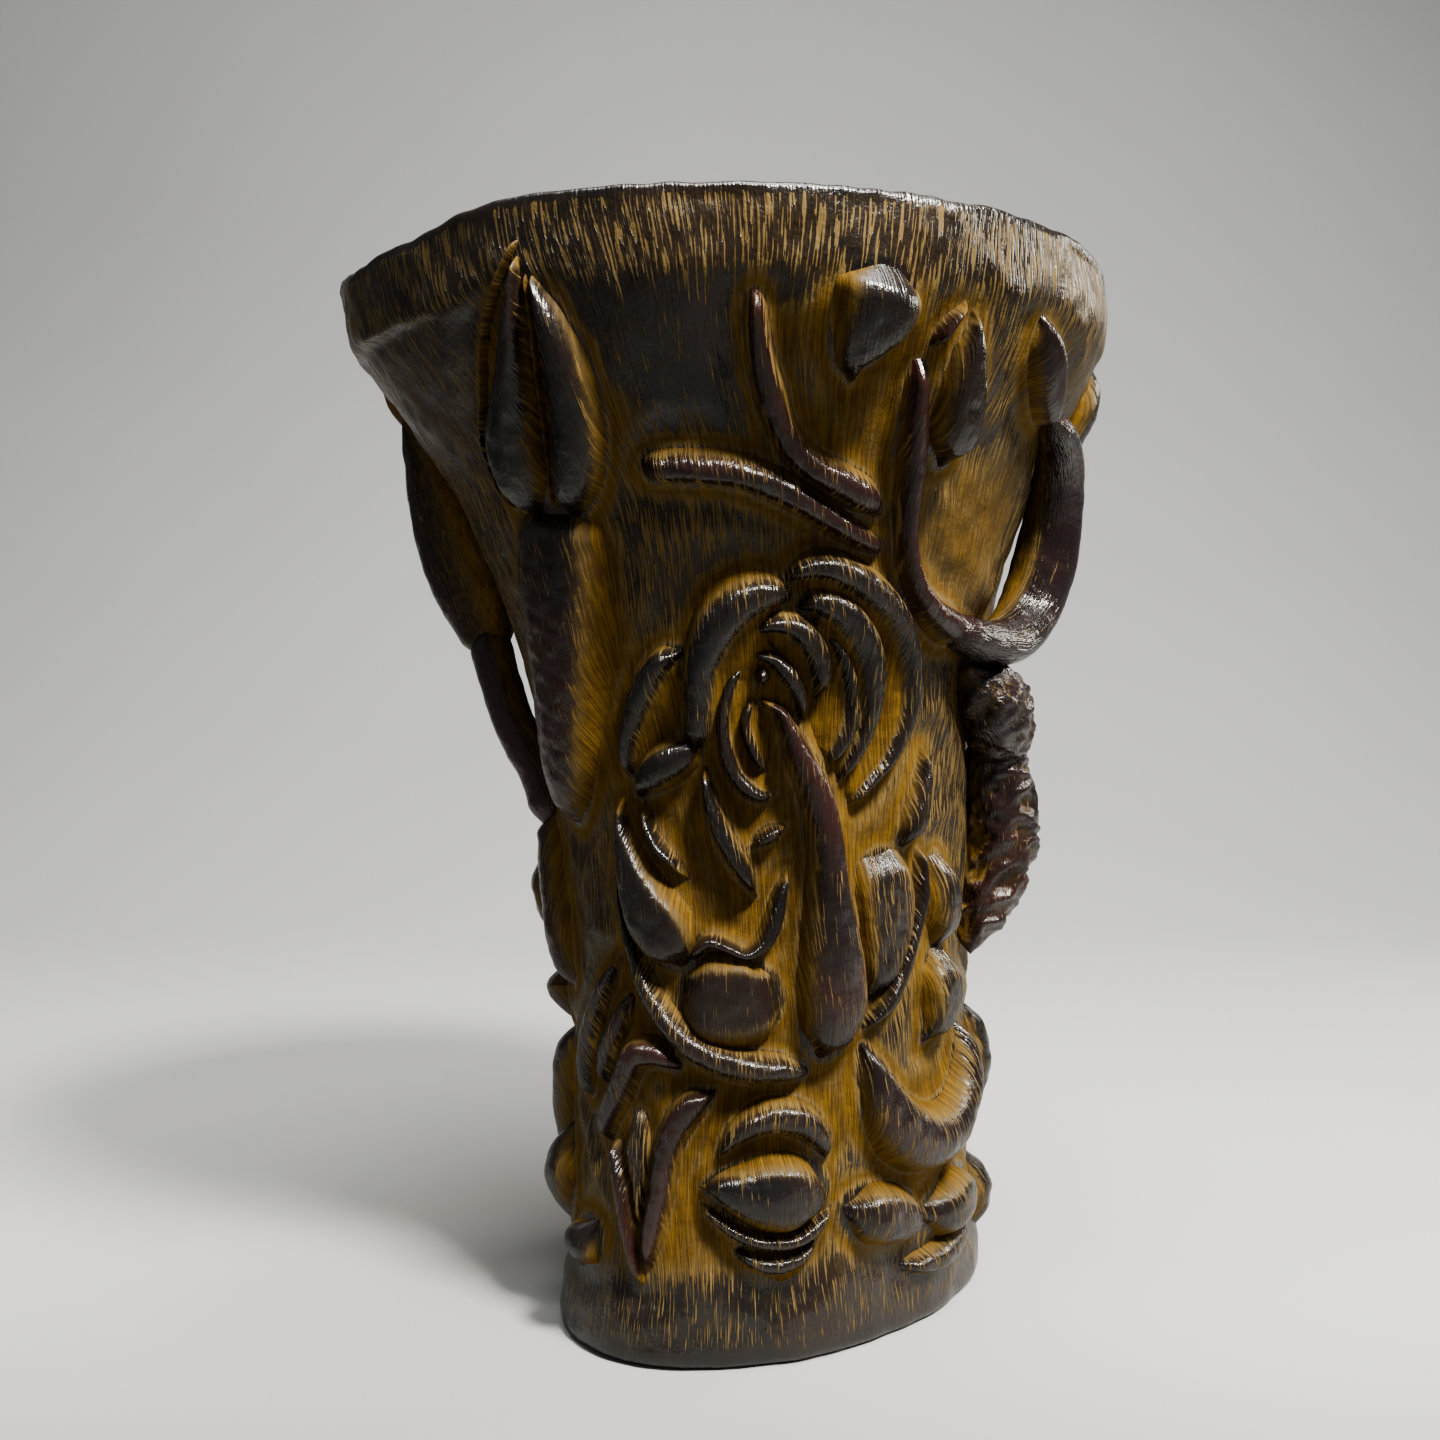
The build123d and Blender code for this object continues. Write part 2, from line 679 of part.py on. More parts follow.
# Where the pegs go through their buds
TRIANGLE_PEG = (17.8, 126.2)
ALMOND_PEG = (34.5, 118.6)
PEG_SEATS = {"triangle_bud": (TRIANGLE_PEG, 4.4), "almond_bud": (ALMOND_PEG, 4.2)}


def turned_over(routes, about, drop=0.0):
    """Front routes turned over onto the back."""
    return [mirrored(route, about, drop) for route in routes]


BACK_BLOSSOM_OUTER = [PETAL_OUTER, PETAL_CROWN, PETAL_TAIL, PETAL_FAR]
BACK_BLOSSOM_INNER = [PETAL_SECOND, PETAL_THIRD, PETAL_INNER, CORE_TOP, CORE_LEFT, CORE_RING, CORE_CLOSE]
BACK_CALYX = [BOWL_RIM, LEFT_PETAL, CENTRE_PETAL, CENTRE_HORN]
BACK_SPLIT_LEAF = [SPLIT_HEAD, SPLIT_LEFT, SPLIT_RIGHT, SPLIT_HEART]
BACK_LOW_BUD = [LOW_BUD_LID, LOW_BUD_HEART, LOW_BUD_CUP, LOW_BUD_UNDER]

# Carved pieces that lie on the wall, each with its routes
RIDGES = {
    "left_bud_petals": [BUD_LEFT, BUD_RIGHT, BUD_VEIN],
    "left_bud_sheath": [BUD_SHEATH],
    "left_bud_stalk": [BUD_STALK],
    "side_stem": [SIDE_STEM],
    "side_lobes": [SIDE_LOBE_HIGH, SIDE_LOBE_LOW],
    "left_pods": [POD_HIGH, POD_LOW, LEFT_KNOB],
    "crescent_leaf": [CRESCENT_EDGE, CRESCENT_BLADE],
    "split_leaf_head": [SPLIT_HEAD],
    "split_leaf_rims": [SPLIT_LEFT, SPLIT_RIGHT],
    "split_leaf_heart": [SPLIT_HEART],
    "low_bud_husk": [LOW_BUD_LID, LOW_BUD_CUP, LOW_BUD_UNDER],
    "low_bud_heart": [LOW_BUD_HEART],
    "bowl_rim": [BOWL_RIM],
    "left_petal": [LEFT_PETAL],
    "centre_petal": [CENTRE_PETAL, CENTRE_HORN],
    "tongue_leaf": [TONGUE],
    "bowl_right": [BOWL_RIGHT],
    "right_petal": [RIGHT_PETAL],
    "right_blade": [RIGHT_BLADE],
    "right_sepals": [SEPAL_HIGH, SEPAL_LOW],
    "petal_outer": [PETAL_OUTER],
    "petal_crown": [PETAL_CROWN],
    "petal_second": [PETAL_SECOND],
    "petal_third": [PETAL_THIRD],
    "petal_inner": [PETAL_INNER],
    "petal_tail": [PETAL_TAIL],
    "petal_far": [PETAL_FAR],
    "petal_folds": [FOLD_LOW, FOLD_LEFT, SEED],
    "core_petals": [CORE_TOP, CORE_LEFT, CORE_RING],
    "hook_branch": [HOOK_BRANCH],
    "rockwork": [ROCK_LEFT, ROCK_RIGHT, ROCK_LOW],
    "right_knobs": [KNOB_HIGH, KNOB_LOW],
    "twig_thick": [TWIG_THICK],
    "twig_thin": [TWIG_THIN],
    "triangle_bud": [TRIANGLE_BUD],
    "almond_bud": [ALMOND_BUD],
    "loop_stem": [LOOP_STEM, ALMOND_SHEATH],
    "loop_pad": [LOOP_PAD],
    "edge_bud": [EDGE_BUD],
    "back_bud_petals": turned_over([BUD_LEFT, BUD_RIGHT, BUD_VEIN], BACK_BUD_ABOUT),
    "back_bud_stalk": turned_over([BUD_SHEATH, BUD_STALK], BACK_BUD_ABOUT),
    "back_blossom_outer": turned_over(BACK_BLOSSOM_OUTER, BACK_BLOSSOM_ABOUT),
    "back_blossom_inner": turned_over(BACK_BLOSSOM_INNER, BACK_BLOSSOM_ABOUT),
    "back_calyx": turned_over(BACK_CALYX, BACK_BLOSSOM_ABOUT),
    "back_twig": turned_over([TWIG_THICK, TWIG_THIN], BACK_BLOSSOM_ABOUT),
    "back_buds": turned_over([TRIANGLE_BUD, ALMOND_BUD], BACK_BUDS_ABOUT),
    "back_split_leaf": turned_over(BACK_SPLIT_LEAF, BACK_SPLIT_ABOUT),
    "back_low_bud": turned_over(BACK_LOW_BUD, BACK_LOW_BUD_ABOUT),
    "back_hook_branch": turned_over([HOOK_BRANCH], BACK_HOOK_ABOUT, BACK_HOOK_DROP),
    "back_rockwork": turned_over([ROCK_LEFT, ROCK_RIGHT, ROCK_LOW], BACK_ROCK_ABOUT, BACK_ROCK_DROP),
}

# Carved branches that stand clear of the wall for part of their length
BRANCHES = {
    "side_leaf": SIDE_LEAF,
    "side_branch": SIDE_BRANCH,
    "loop_branch": LOOP_BRANCH,
    "gnarl_high": GNARL_HIGH,
    "gnarl_low": GNARL_LOW,
}


LEVELS = [share * CUP_HEIGHT for share in SECTION_SHARES]

# The room that the horn and the glue on it take up: clear branches are cut back to it at the wall
with BuildPart() as seat:
    loft([wall_section(level, -GLUE_LINE) for level in LEVELS])

# Wall: the horn with its natural hollow, which runs right through it, and blind holes for the two pegs
with BuildPart() as horn_wall:
    loft([wall_section(level) for level in LEVELS])
    loft([wall_section(level, wall_thickness(level)) for level in LEVELS], mode=Mode.SUBTRACT)
    rim_edges = horn_wall.edges().group_by(Axis.Z)[-1]
    fillet(rim_edges, LIP_ROUND)
    foot_edges = horn_wall.edges().group_by(Axis.Z)[0]
    fillet(foot_edges.sort_by(SortBy.LENGTH)[-1], FOOT_ROUND)
    for place, _ in PEG_SEATS.values():
        with Locations(peg_plane(*place)):
            Cylinder(PEG_RADIUS + PEG_CLEARANCE, 2 * PEG_DEPTH, mode=Mode.SUBTRACT)

# Plug: it fills the narrow end of the hollow, flush with the foot
PLUG_LEVELS = [share * PLUG_THICKNESS for share in PLUG_SHARES]
with BuildPart() as foot_plug:
    loft([wall_section(level, wall_thickness(level) + PLUG_CLEARANCE) for level in PLUG_LEVELS])

# Seal: a bead of wax in the corner between the plug and the wall
SEAL_LEVELS = [PLUG_THICKNESS, PLUG_THICKNESS + SEAL_HEIGHT]
with BuildPart() as plug_seal:
    loft([wall_section(level, wall_thickness(level) + PLUG_CLEARANCE) for level in SEAL_LEVELS])
    loft(
        [
            wall_section(level, wall_thickness(level) + width)
            for level, width in zip(SEAL_LEVELS, (SEAL_WIDTH, SEAL_TOP_WIDTH))
        ],
        mode=Mode.SUBTRACT,
    )

# Pegs: they run through their buds into the wall and end a little below the buds' faces
with BuildPart() as bud_pegs:
    for place, relief in PEG_SEATS.values():
        with Locations(peg_plane(*place).offset(-PEG_DEPTH)):
            Cylinder(
                PEG_RADIUS, PEG_DEPTH + relief - PEG_SINK, align=(Align.CENTER, Align.CENTER, Align.MIN)
            )

pieces = {"horn_wall": horn_wall, "foot_plug": foot_plug, "plug_seal": plug_seal, "bud_pegs": bud_pegs}

# Ridges: each is lofted along its routes, and the pinned buds are drilled for their pegs
for name, routes in RIDGES.items():
    with BuildPart() as ridge:
        for route in routes:
            loft(ridge_sections(route))
        if name in PEG_SEATS:
            place, relief = PEG_SEATS[name]
            with Locations(peg_plane(*place)):
                Cylinder(PEG_RADIUS + PEG_CLEARANCE, 4 * relief, mode=Mode.SUBTRACT)
    pieces[name] = ridge

# Branches: each is lofted along its route and cut back to the glue on the wall
for name, route in BRANCHES.items():
    with BuildPart() as branch:
        loft(branch_sections(route))
        add(seat.part, mode=Mode.SUBTRACT)
    pieces[name] = branch

os.makedirs("parts", exist_ok=True)
for name, piece in pieces.items():
    piece.part.label = name
    export_step(piece.part, f"parts/{name}.step")
print(len(pieces), "pieces")
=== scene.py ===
import json
from math import radians

import bpy
import numpy as np
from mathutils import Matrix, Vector


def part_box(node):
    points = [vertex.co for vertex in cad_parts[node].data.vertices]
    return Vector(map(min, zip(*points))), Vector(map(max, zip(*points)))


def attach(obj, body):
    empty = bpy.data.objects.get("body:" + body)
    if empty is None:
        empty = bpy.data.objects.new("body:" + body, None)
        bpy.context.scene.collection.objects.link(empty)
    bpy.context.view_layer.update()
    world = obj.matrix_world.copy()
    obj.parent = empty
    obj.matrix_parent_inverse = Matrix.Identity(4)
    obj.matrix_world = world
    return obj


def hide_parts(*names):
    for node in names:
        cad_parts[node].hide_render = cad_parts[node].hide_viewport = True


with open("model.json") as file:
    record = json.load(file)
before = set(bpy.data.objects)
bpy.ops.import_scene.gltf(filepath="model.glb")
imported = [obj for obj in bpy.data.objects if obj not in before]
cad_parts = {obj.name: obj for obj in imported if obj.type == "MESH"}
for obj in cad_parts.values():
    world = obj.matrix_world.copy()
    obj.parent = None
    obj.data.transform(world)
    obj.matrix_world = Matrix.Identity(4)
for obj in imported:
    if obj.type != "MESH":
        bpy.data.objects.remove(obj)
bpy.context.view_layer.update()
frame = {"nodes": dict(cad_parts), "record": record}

# Carved horn drinking cup. Shapes are worked out in millimetres and degrees, and go into meshes in metres.
# A bearing is 0 at the carved front (-Y), 90 on the right (+X) and 180 at the back.
METRES = 0.001

# Wall, as in the solid model
CUP_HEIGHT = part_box("horn_wall")[1].z / METRES
WAIST_HALF_WIDTH = 28.0
RIM_FLARE = 24.0
RIM_BAND = 11.0
FLARE_POWER = 4.6
KNEE_SHARPNESS = 10.0
FOOT_SWELL = 1.8
FOOT_SWELL_HEIGHT = 30.0
DEPTH_RATIO = 0.855
RIM_LEAN = 8.0
LEAN_POWER = 2.1
FOOT_SKEW = 0.33
SKEW_POWER = 1.5
RIM_WALL = 3.2
FOOT_WALL = 6.0

# The foot's edge is rounder than the solid's and the lip is half round. Slopes are measured over a small
# step
FOOT_ROUND = 1.6
LIP_RISE = 0.9
SLOPE_STEP = 0.05

# How far the hand-cut rim dips below its full height, by bearing
RIM_DIP_BEARINGS = (-180, -110, -75, -58, -45, -32, -20, 15, 45, 60, 75, 100, 130, 180)
RIM_DIPS = (0.6, 0.9, 2.4, 3.2, 2.5, 0.5, 0.1, 0.1, 0.3, 0.5, 1.6, 1.2, 0.5, 0.6)

# The ground beside each motif is cut below the wall's own surface, deepest beside the ridge
POCKET_DEPTH = 1.3
POCKET_FROM = 0.8
POCKET_WIDTH = 6.0

# Grids
WALL_COLUMNS = 416
WALL_SPACING = 0.72
INSIDE_ROWS = 32
LIP_ROWS = 9
FOOT_ROWS = 7
RIDGE_SPACING = 0.45
RIDGE_WIDTH_POINTS = 35
BRANCH_SPACING = 0.4
BRANCH_POINTS = 64

# The grain of the horn is laid out on a drum of this radius, and wavers sideways in two waves:
# a turn in degrees, and the height and bearing that one radian of the wave takes
GRAIN_RADIUS = 38.0
GRAIN_WAVES = ((1.1, 9.0, 23.0), (0.5, 3.7, -11.0))

# A route runs on a little past both ends, more on a broad ridge, and its ridge rises over END_RISE times that
END_REACH_LEAST = 1.0
END_REACH_PER_HALF_WIDTH = 0.75
END_REACH_MOST = 2.4
END_RISE = 1.9
LEAST_ROWS = 14

# A ridge's side falls by a power that grows with its half width. Besides the fall of its crest it keeps
# SHOULDER_SHARE / (1 + SHOULDER_SHARE) of its height at the half width, and at its foot
# 1 / (1 + FOOT_THINNESS)
STEEP_BASE = 2.4
STEEP_PER_HALF_WIDTH = 1.3
STEEP_LEAST = 3.6
STEEP_MOST = 9
SHOULDER_SHARE = 0.43
FOOT_THINNESS = 40

# The long, low slope of a petal towards the blossom's middle
SHELL_REACH = 1.2
SHELL_HEIGHT = 0.62
SHELL_FROM = 0.5
SHELL_TO = 2.1

# How far a ridge's edges and ends sink into the ground
EDGE_SINK = 0.5
EDGE_SINK_FROM = 0.8
END_SINK = 0.7

# Knife marks on a ridge: depth and size, and the height of ridge that has them in full
COARSE_MARKS = (0.12, 4.0)
FINE_MARKS = (0.07, 1.7)
FULL_MARKS_HEIGHT = 4

# Polish of a crest. Across its side it gives way to ochre from one share of the half width to another and
# a little past that, in millimetres. A petal's long slope is duller, and the thinnest ridges have no polish
CREST_POLISH = 0.92
POLISH_FROM = 0.32
POLISH_TO = 0.9
POLISH_PAST = 0.4
SHELL_DULLING = 0.4
THIN_RIDGE = 0.3
FULL_RIDGE = 0.9

# Chips on a branch: the sizes of two kinds, the share of the small ones, the height of their crests, and
# the gleam of crests where they are cut deep
CHIP_SIZE = 6.0
SMALL_CHIP_SIZE = 2.6
SMALL_CHIP_SHARE = 0.5
CHIP_CREST = 0.45
DEEP_CUT = 0.5
CHIP_GLEAM = 0.3

# A branch: the thickness left at its ends, its strokes, the sines of turn between which its ochre underside
# becomes polished, and the width and ochre of its dished side
BRANCH_END = 0.02
BRANCH_STROKES = 0.3
BRANCH_SEED = 9000
UNDERSIDE = (-0.8, 0.1)
DISH_TURN = 0.75
DISH_OCHRE = 1.1

# The ground swells round each ridge by a share of its relief, over a width that grows with the ridge's
SWELL_SHARE = 0.55
SWELL_WIDTH = 1.3
SWELL_MARGIN = 1.3

# The ground's distance from a ridge is measured from points along it: their spacing, the share of its width
# that they reach, the margin left at its ends, and the blocks in which the wall's points are measured
PLACE_SPACING = 0.9
REACH_SHARE = 0.92
END_MARGIN = 0.6
GROUND_BLOCKS = 40

# Lumps are this many sine waves, each quicker or slower than its size by a factor
LUMP_WAVES = 10
LUMP_QUICKNESS = (0.7, 1.5)

# Unevenness of the wall, of its rim band, where it is drawn out upwards, and of the rim's edge:
# depth, size and seed
WALL_LUMPS = ((0.25, 16, 5), (0.12, 5, 6))
RIM_LUMPS = (0.3, 9, 7)
RIM_LUMPS_DRAWN = (1, 1, 0.3)
EDGE_LUMPS = ((0.22, 9, 8), (0.14, 3, 9))

# Zones of the wall, each the two ends of a smooth step in millimetres of height or degrees of bearing
RIM_ZONE = (CUP_HEIGHT - RIM_BAND - 2, CUP_HEIGHT - RIM_BAND + 3)
CARVED_ZONE = (3, 9)
FOOT_EDGE_ZONE = (1.6, 3.6)
FOOT_BAND_ZONE = (9, 15)
NECK_ZONE = (108, 120)
LEFT_ZONE = (16, -8)
DARK_NECK_ZONE = (-55, -35)

# Distances from a ridge's edge between which the ground loses its ochre, nearer on the left of the neck,
# and those over which it comes out from under the ridge
OCHRE_FROM = 0.1
OCHRE_TO = 2.8
OCHRE_LESS_ON_NECK = 1.0
UNDER_RIDGE = (-0.8, 1.0)

# Polish of the wall's parts, where 1 is bare horn and 0 is a full coat of ochre
GROUND_POLISH = 0.72
DARK_NECK_POLISH = 0.2
RIM_POLISH = 0.74
# The foot band's extra bare horn is partly its real finish and partly painted shade
FOOT_BAND_POLISH_AND_SHADE = 0.86
INSIDE_POLISH = 0.9
POOL_OCHRE = 0.65

# How many strokes the wall's parts keep
GROUND_STROKES = 0.7
RIM_FEWER = 0.1
# Fewer strokes on the foot band darken it, partly as painted shade
FOOT_BAND_FEWER_STROKES_AND_SHADE = 0.18
LEFT_NECK_FEWER = 0.24
FOOT_EDGE_FEWER = 0.6
INSIDE_STROKES = -0.2


def half_width(height):
    """Half the wall's width: a waist, a power curve that stops at the rim band, and a foot swell by a square
    law."""
    climb = (np.maximum(height, 0) / (CUP_HEIGHT - RIM_BAND)) ** FLARE_POWER
    flare = RIM_FLARE * climb / (1 + climb**KNEE_SHARPNESS) ** (1 / KNEE_SHARPNESS)
    swell = FOOT_SWELL * np.maximum(0, 1 - height / FOOT_SWELL_HEIGHT) ** 2
    return WAIST_HALF_WIDTH + flare + swell


def wall_thickness(height):
    """Thickness falls in a straight line from the foot to the rim."""
    return FOOT_WALL + (RIM_WALL - FOOT_WALL) * height / CUP_HEIGHT


def wall_point(bearing, height, inset=0.0):
    """Oval of the half width, set in by an inset, that leans left by a power of its height and is skewed
    low down."""
    bearing, height, inset = np.broadcast_arrays(bearing, height, inset)
    share = np.clip(height / CUP_HEIGHT, 0, 1)
    width = half_width(height)
    skew = FOOT_SKEW * (1 - share) ** SKEW_POWER
    across, towards = np.sin(np.radians(bearing)), np.cos(np.radians(bearing))
    x = -RIM_LEAN * share**LEAN_POWER + (width - inset) * across
    y = skew * across * (width - inset) - (width * DEPTH_RATIO - inset) * towards
    return np.stack([x, y, height], axis=-1)


def wall_slopes(bearing, height):
    """Central differences: how the wall's point moves per degree of bearing and per millimetre of height."""
    along = wall_point(bearing + SLOPE_STEP, height) - wall_point(bearing - SLOPE_STEP, height)
    up = wall_point(bearing, height + SLOPE_STEP) - wall_point(bearing, height - SLOPE_STEP)
    return along / (2 * SLOPE_STEP), up / (2 * SLOPE_STEP)


def unit(vectors):
    """Each vector divided by its length."""
    return vectors / np.maximum(np.linalg.norm(vectors, axis=-1, keepdims=True), 1e-12)


def wall_normal(bearing, height):
    """Outward direction: the slope along the bearing crossed with the slope up the wall."""
    along, up = wall_slopes(bearing, height)
    return unit(np.cross(along, up))


def ease(value, low, high):
    """Smooth step from 0 at low to 1 at high."""
    share = np.clip((value - low) / (high - low), 0, 1)
    return share * share * (3 - 2 * share)


def lumps(points, size, seed):
    """Seeded unevenness between about -1 and 1: sine waves in random directions, about size long, are added
    up and divided by the root of twice their number."""
    draw = np.random.default_rng(seed)
    pull = unit(draw.normal(size=(LUMP_WAVES, 3))) * (2 * np.pi / size)
    pull = pull * draw.uniform(*LUMP_QUICKNESS, (LUMP_WAVES, 1))
    phase = draw.uniform(0, 2 * np.pi, LUMP_WAVES)
    return np.sin(points @ pull.T + phase).sum(axis=-1) / np.sqrt(2 * LUMP_WAVES)


def chips(points, size, seed):
    """Chisel chips: sharp crests where slow lumps cross zero, and hollows between them."""
    return CHIP_CREST - np.abs(lumps(points, size, seed))


def grain_place(bearing, height):
    """The horn's grain: a drum's point for the bearing and height, turned by the sum of two sine waves."""
    waver = sum(sway * np.sin(height / rise + bearing / run) for sway, rise, run in GRAIN_WAVES)
    turn = np.radians(bearing + waver)
    x, y = GRAIN_RADIUS * np.sin(turn), -GRAIN_RADIUS * np.cos(turn)
    return np.stack(np.broadcast_arrays(x, y, height), axis=-1)


# Routes of the carving. Each station is a bearing, a height, half the ridge's width and its relief,
# and for a branch that stands clear also its lift off the wall.

# Tall bud at the upper left with the vein between its petals, its sheath and its stalk
BUD_LEFT = [
    (-27.5, 132.8, 0.5, 1.2), (-29, 129.2, 1.2, 2.4), (-30.9, 126, 1.9, 3), (-35.4, 120, 3.1, 3.8),
    (-39.6, 115.6, 4.2, 4.2), (-42, 112, 4.6, 4.2), (-43, 108.6, 3.4, 3.4), (-43, 106.2, 1.8, 2.2),
]
BUD_RIGHT = [
    (-26, 130.5, 0.6, 1.4), (-25.2, 126.5, 2, 2.8), (-25.4, 121, 3.4, 3.6), (-27, 116, 3.8, 4),
    (-29.2, 112, 3.8, 4), (-32, 108.6, 3.2, 3.4), (-34.4, 106, 2, 2.2),
]
BUD_VEIN = [
    (-26.8, 131, 0.4, 0.8), (-28, 126, 0.4, 1), (-31, 120, 0.4, 1.2), (-34.6, 113, 0.4, 1.2),
    (-37, 109.4, 0.4, 1), (-38.8, 106.6, 0.4, 0.8),
]
BUD_SHEATH = [
    (-27, 134.6, 0.4, 1.2), (-31.4, 130.4, 0.4, 1.4), (-36.6, 125.6, 0.4, 1.4), (-42.4, 120, 0.4, 1.4),
    (-48.4, 114.6, 0.5, 1.6), (-50.6, 110.6, 0.5, 1.4), (-50.4, 107, 0.4, 1),
]
BUD_STALK = [
    (-40, 105, 5.2, 3.2), (-43, 99.5, 5.8, 4), (-47, 92.5, 5.4, 4.4), (-51, 85, 4.6, 4.4),
    (-55.5, 77.5, 4, 4.2), (-58.5, 71.5, 3.2, 3.4), (-60, 68, 2, 2.2),
]

# Leaf, branch and lobes down the left side
SIDE_LEAF = [
    (-93, 120, 2.4, 2.4, 0.6), (-94, 113, 4.6, 4.2, 2.4), (-95, 106, 6, 5.4, 3.8),
    (-95.6, 99, 5.6, 5.2, 4.4), (-95.6, 94.5, 4.2, 4.2, 4.6), (-95, 91, 3.2, 3.2, 4.6),
]
SIDE_BRANCH = [
    (-95, 93, 3, 3, 4.6), (-94.5, 87, 2.9, 2.9, 4.6), (-93, 81, 2.9, 2.9, 4), (-91, 76.5, 3, 3, 2.6),
    (-89, 72, 2.8, 2.8, 1.2), (-86.5, 67, 2.4, 2.8, 0.6),
]
SIDE_STEM = [
    (-86, 66.4, 2.2, 3), (-84, 61, 2.6, 3.4), (-82, 55, 2.6, 3.4), (-80, 49.5, 2.2, 3),
    (-78, 45.5, 1.4, 2),
]
SIDE_LOBE_HIGH = [(-99, 63.5, 2.2, 3), (-102, 58, 4, 6.2), (-102, 52.5, 3.8, 5.4), (-99, 48, 2.2, 3)]
SIDE_LOBE_LOW = [(-97, 45.8, 2, 2.6), (-98, 43, 3, 4.2), (-95, 39.6, 2, 3)]
POD_HIGH = [(-88, 37, 1.5, 2), (-93, 32, 2.3, 3.4), (-96.5, 26, 2.5, 3.6), (-97, 20.5, 2, 2.8)]
POD_LOW = [(-85, 24.5, 2, 2.8), (-83, 19.5, 3.2, 4.2), (-82, 14.5, 2, 2.4)]
LEFT_KNOB = [(-60, 15, 1.4, 1.6), (-64, 13, 2.6, 2.8), (-68, 10.5, 1.6, 1.6)]

# Crescent leaf and split leaf at the lower left
CRESCENT_EDGE = [
    (-46, 49.8, 0.5, 1), (-50.5, 46.8, 1, 1.8), (-56.5, 42.2, 1.2, 2), (-62, 36.8, 1.2, 1.8),
    (-64.5, 32, 0.8, 1.2),
]
CRESCENT_BLADE = [
    (-43, 44.8, 0.9, 1), (-46.8, 41.8, 1.4, 1.6), (-51.4, 38.2, 1.4, 1.6), (-55, 34.4, 0.9, 1),
]
SPLIT_HEAD = [
    (-28, 37.4, 0.9, 1.8), (-34, 38.9, 1.7, 2.8), (-39.5, 38.4, 1.8, 3), (-43.4, 35.6, 1.6, 2.9),
    (-47.3, 32.4, 1.5, 2.7), (-51, 29.5, 1.2, 2.4), (-52.6, 27.2, 0.7, 1.5),
]
SPLIT_LEFT = [
    (-49.5, 26.2, 0.6, 1.4), (-47.4, 23.4, 0.9, 1.9), (-45.2, 20, 1, 2.1), (-43, 15.8, 1, 2.1),
    (-40.8, 12.4, 0.7, 1.6), (-39.4, 10.4, 0.4, 1),
]
SPLIT_RIGHT = [
    (-18.5, 34, 0.7, 1.6), (-22, 33.2, 1.5, 2.7), (-26.5, 31.1, 1.8, 3), (-30, 28.1, 1.6, 3),
    (-32, 25, 1.5, 2.8), (-33.2, 21.5, 1.4, 2.7), (-35, 18, 1.3, 2.5), (-36.2, 15, 1.1, 2.2),
    (-36.6, 12.8, 0.7, 1.6),
]
SPLIT_HEART = [(-40.4, 30.6, 1, 1), (-40.6, 26, 1.7, 1.3), (-40.2, 20.8, 0.9, 1.2), (-40, 17.6, 0.4, 1)]

# Lidded bud above the foot
LOW_BUD_LID = [
    (-16.5, 26.6, 0.6, 1.4), (-12.5, 28.9, 1.2, 2.4), (-7, 30.6, 1.7, 3), (-1, 31.2, 2, 3.2),
    (4.5, 30.4, 2, 3.2), (8.6, 28.2, 1.5, 2.8), (11, 25.8, 0.8, 1.8),
]
LOW_BUD_HEART = [
    (-21, 22.4, 0.4, 1.2), (-16.5, 22.5, 1.7, 2.8), (-10, 22, 3.1, 3.7), (-3, 21.6, 4, 4.1),
    (3, 21.4, 3.8, 4), (7.5, 21.2, 2.2, 3.2), (10, 21.2, 0.8, 1.8),
]
LOW_BUD_CUP = [
    (-21, 19.8, 0.5, 1), (-16, 18, 0.8, 1.5), (-9.5, 16.2, 1, 1.9), (-2, 15.4, 1.1, 2),
    (4.5, 15.8, 1.1, 1.9), (9.3, 17.4, 0.9, 1.5), (11.6, 18.4, 0.5, 1),
]
LOW_BUD_UNDER = [
    (-11.5, 14.2, 0.7, 0.8), (-7, 12.9, 1, 1.1), (-2, 12.4, 1.2, 1.2), (3.2, 12.9, 1, 1.1),
    (7.4, 14.2, 0.7, 0.8),
]

# Calyx below the blossom: its rims and broad petals, and the tongue-shaped leaf that crosses it
BOWL_RIM = [
    (-43, 61.5, 0.4, 1.2), (-42, 57, 0.6, 1.6), (-38.6, 51, 0.9, 2.2), (-35, 46.6, 1.2, 2.6),
    (-29.6, 43, 1.4, 2.9), (-23, 40.1, 1.6, 3.1), (-15.5, 38.4, 1.7, 3.2), (-7.5, 37.4, 1.7, 3.2),
    (0.5, 37, 1.4, 2.8), (5.6, 36.4, 0.8, 1.8),
]
LEFT_PETAL = [
    (-39.6, 70, 0.4, 1.2), (-39.4, 66.6, 1, 2.2), (-37.6, 62.6, 2, 3), (-34.4, 58.6, 3.1, 3.5),
    (-30.4, 55, 3.8, 3.7), (-26.6, 52.2, 3, 3.2), (-24.4, 50.6, 1.6, 2),
]
CENTRE_PETAL = [
    (-23.5, 46.2, 3.6, 2), (-19, 46, 5, 2.6), (-12.5, 45.8, 5.4, 2.8), (-6.5, 46, 5, 2.7),
    (-2.5, 46.6, 3.4, 2.2),
]
CENTRE_HORN = [
    (-22, 51.2, 0.8, 2), (-17, 53.2, 1, 2.6), (-12, 52.4, 0.9, 2.6), (-8, 51.6, 0.9, 2.6),
    (-4, 52.8, 1.1, 2.6), (-0.6, 56, 1.2, 2.4), (1.6, 59.6, 0.8, 1.8), (3, 61.4, 0.4, 1.2),
]
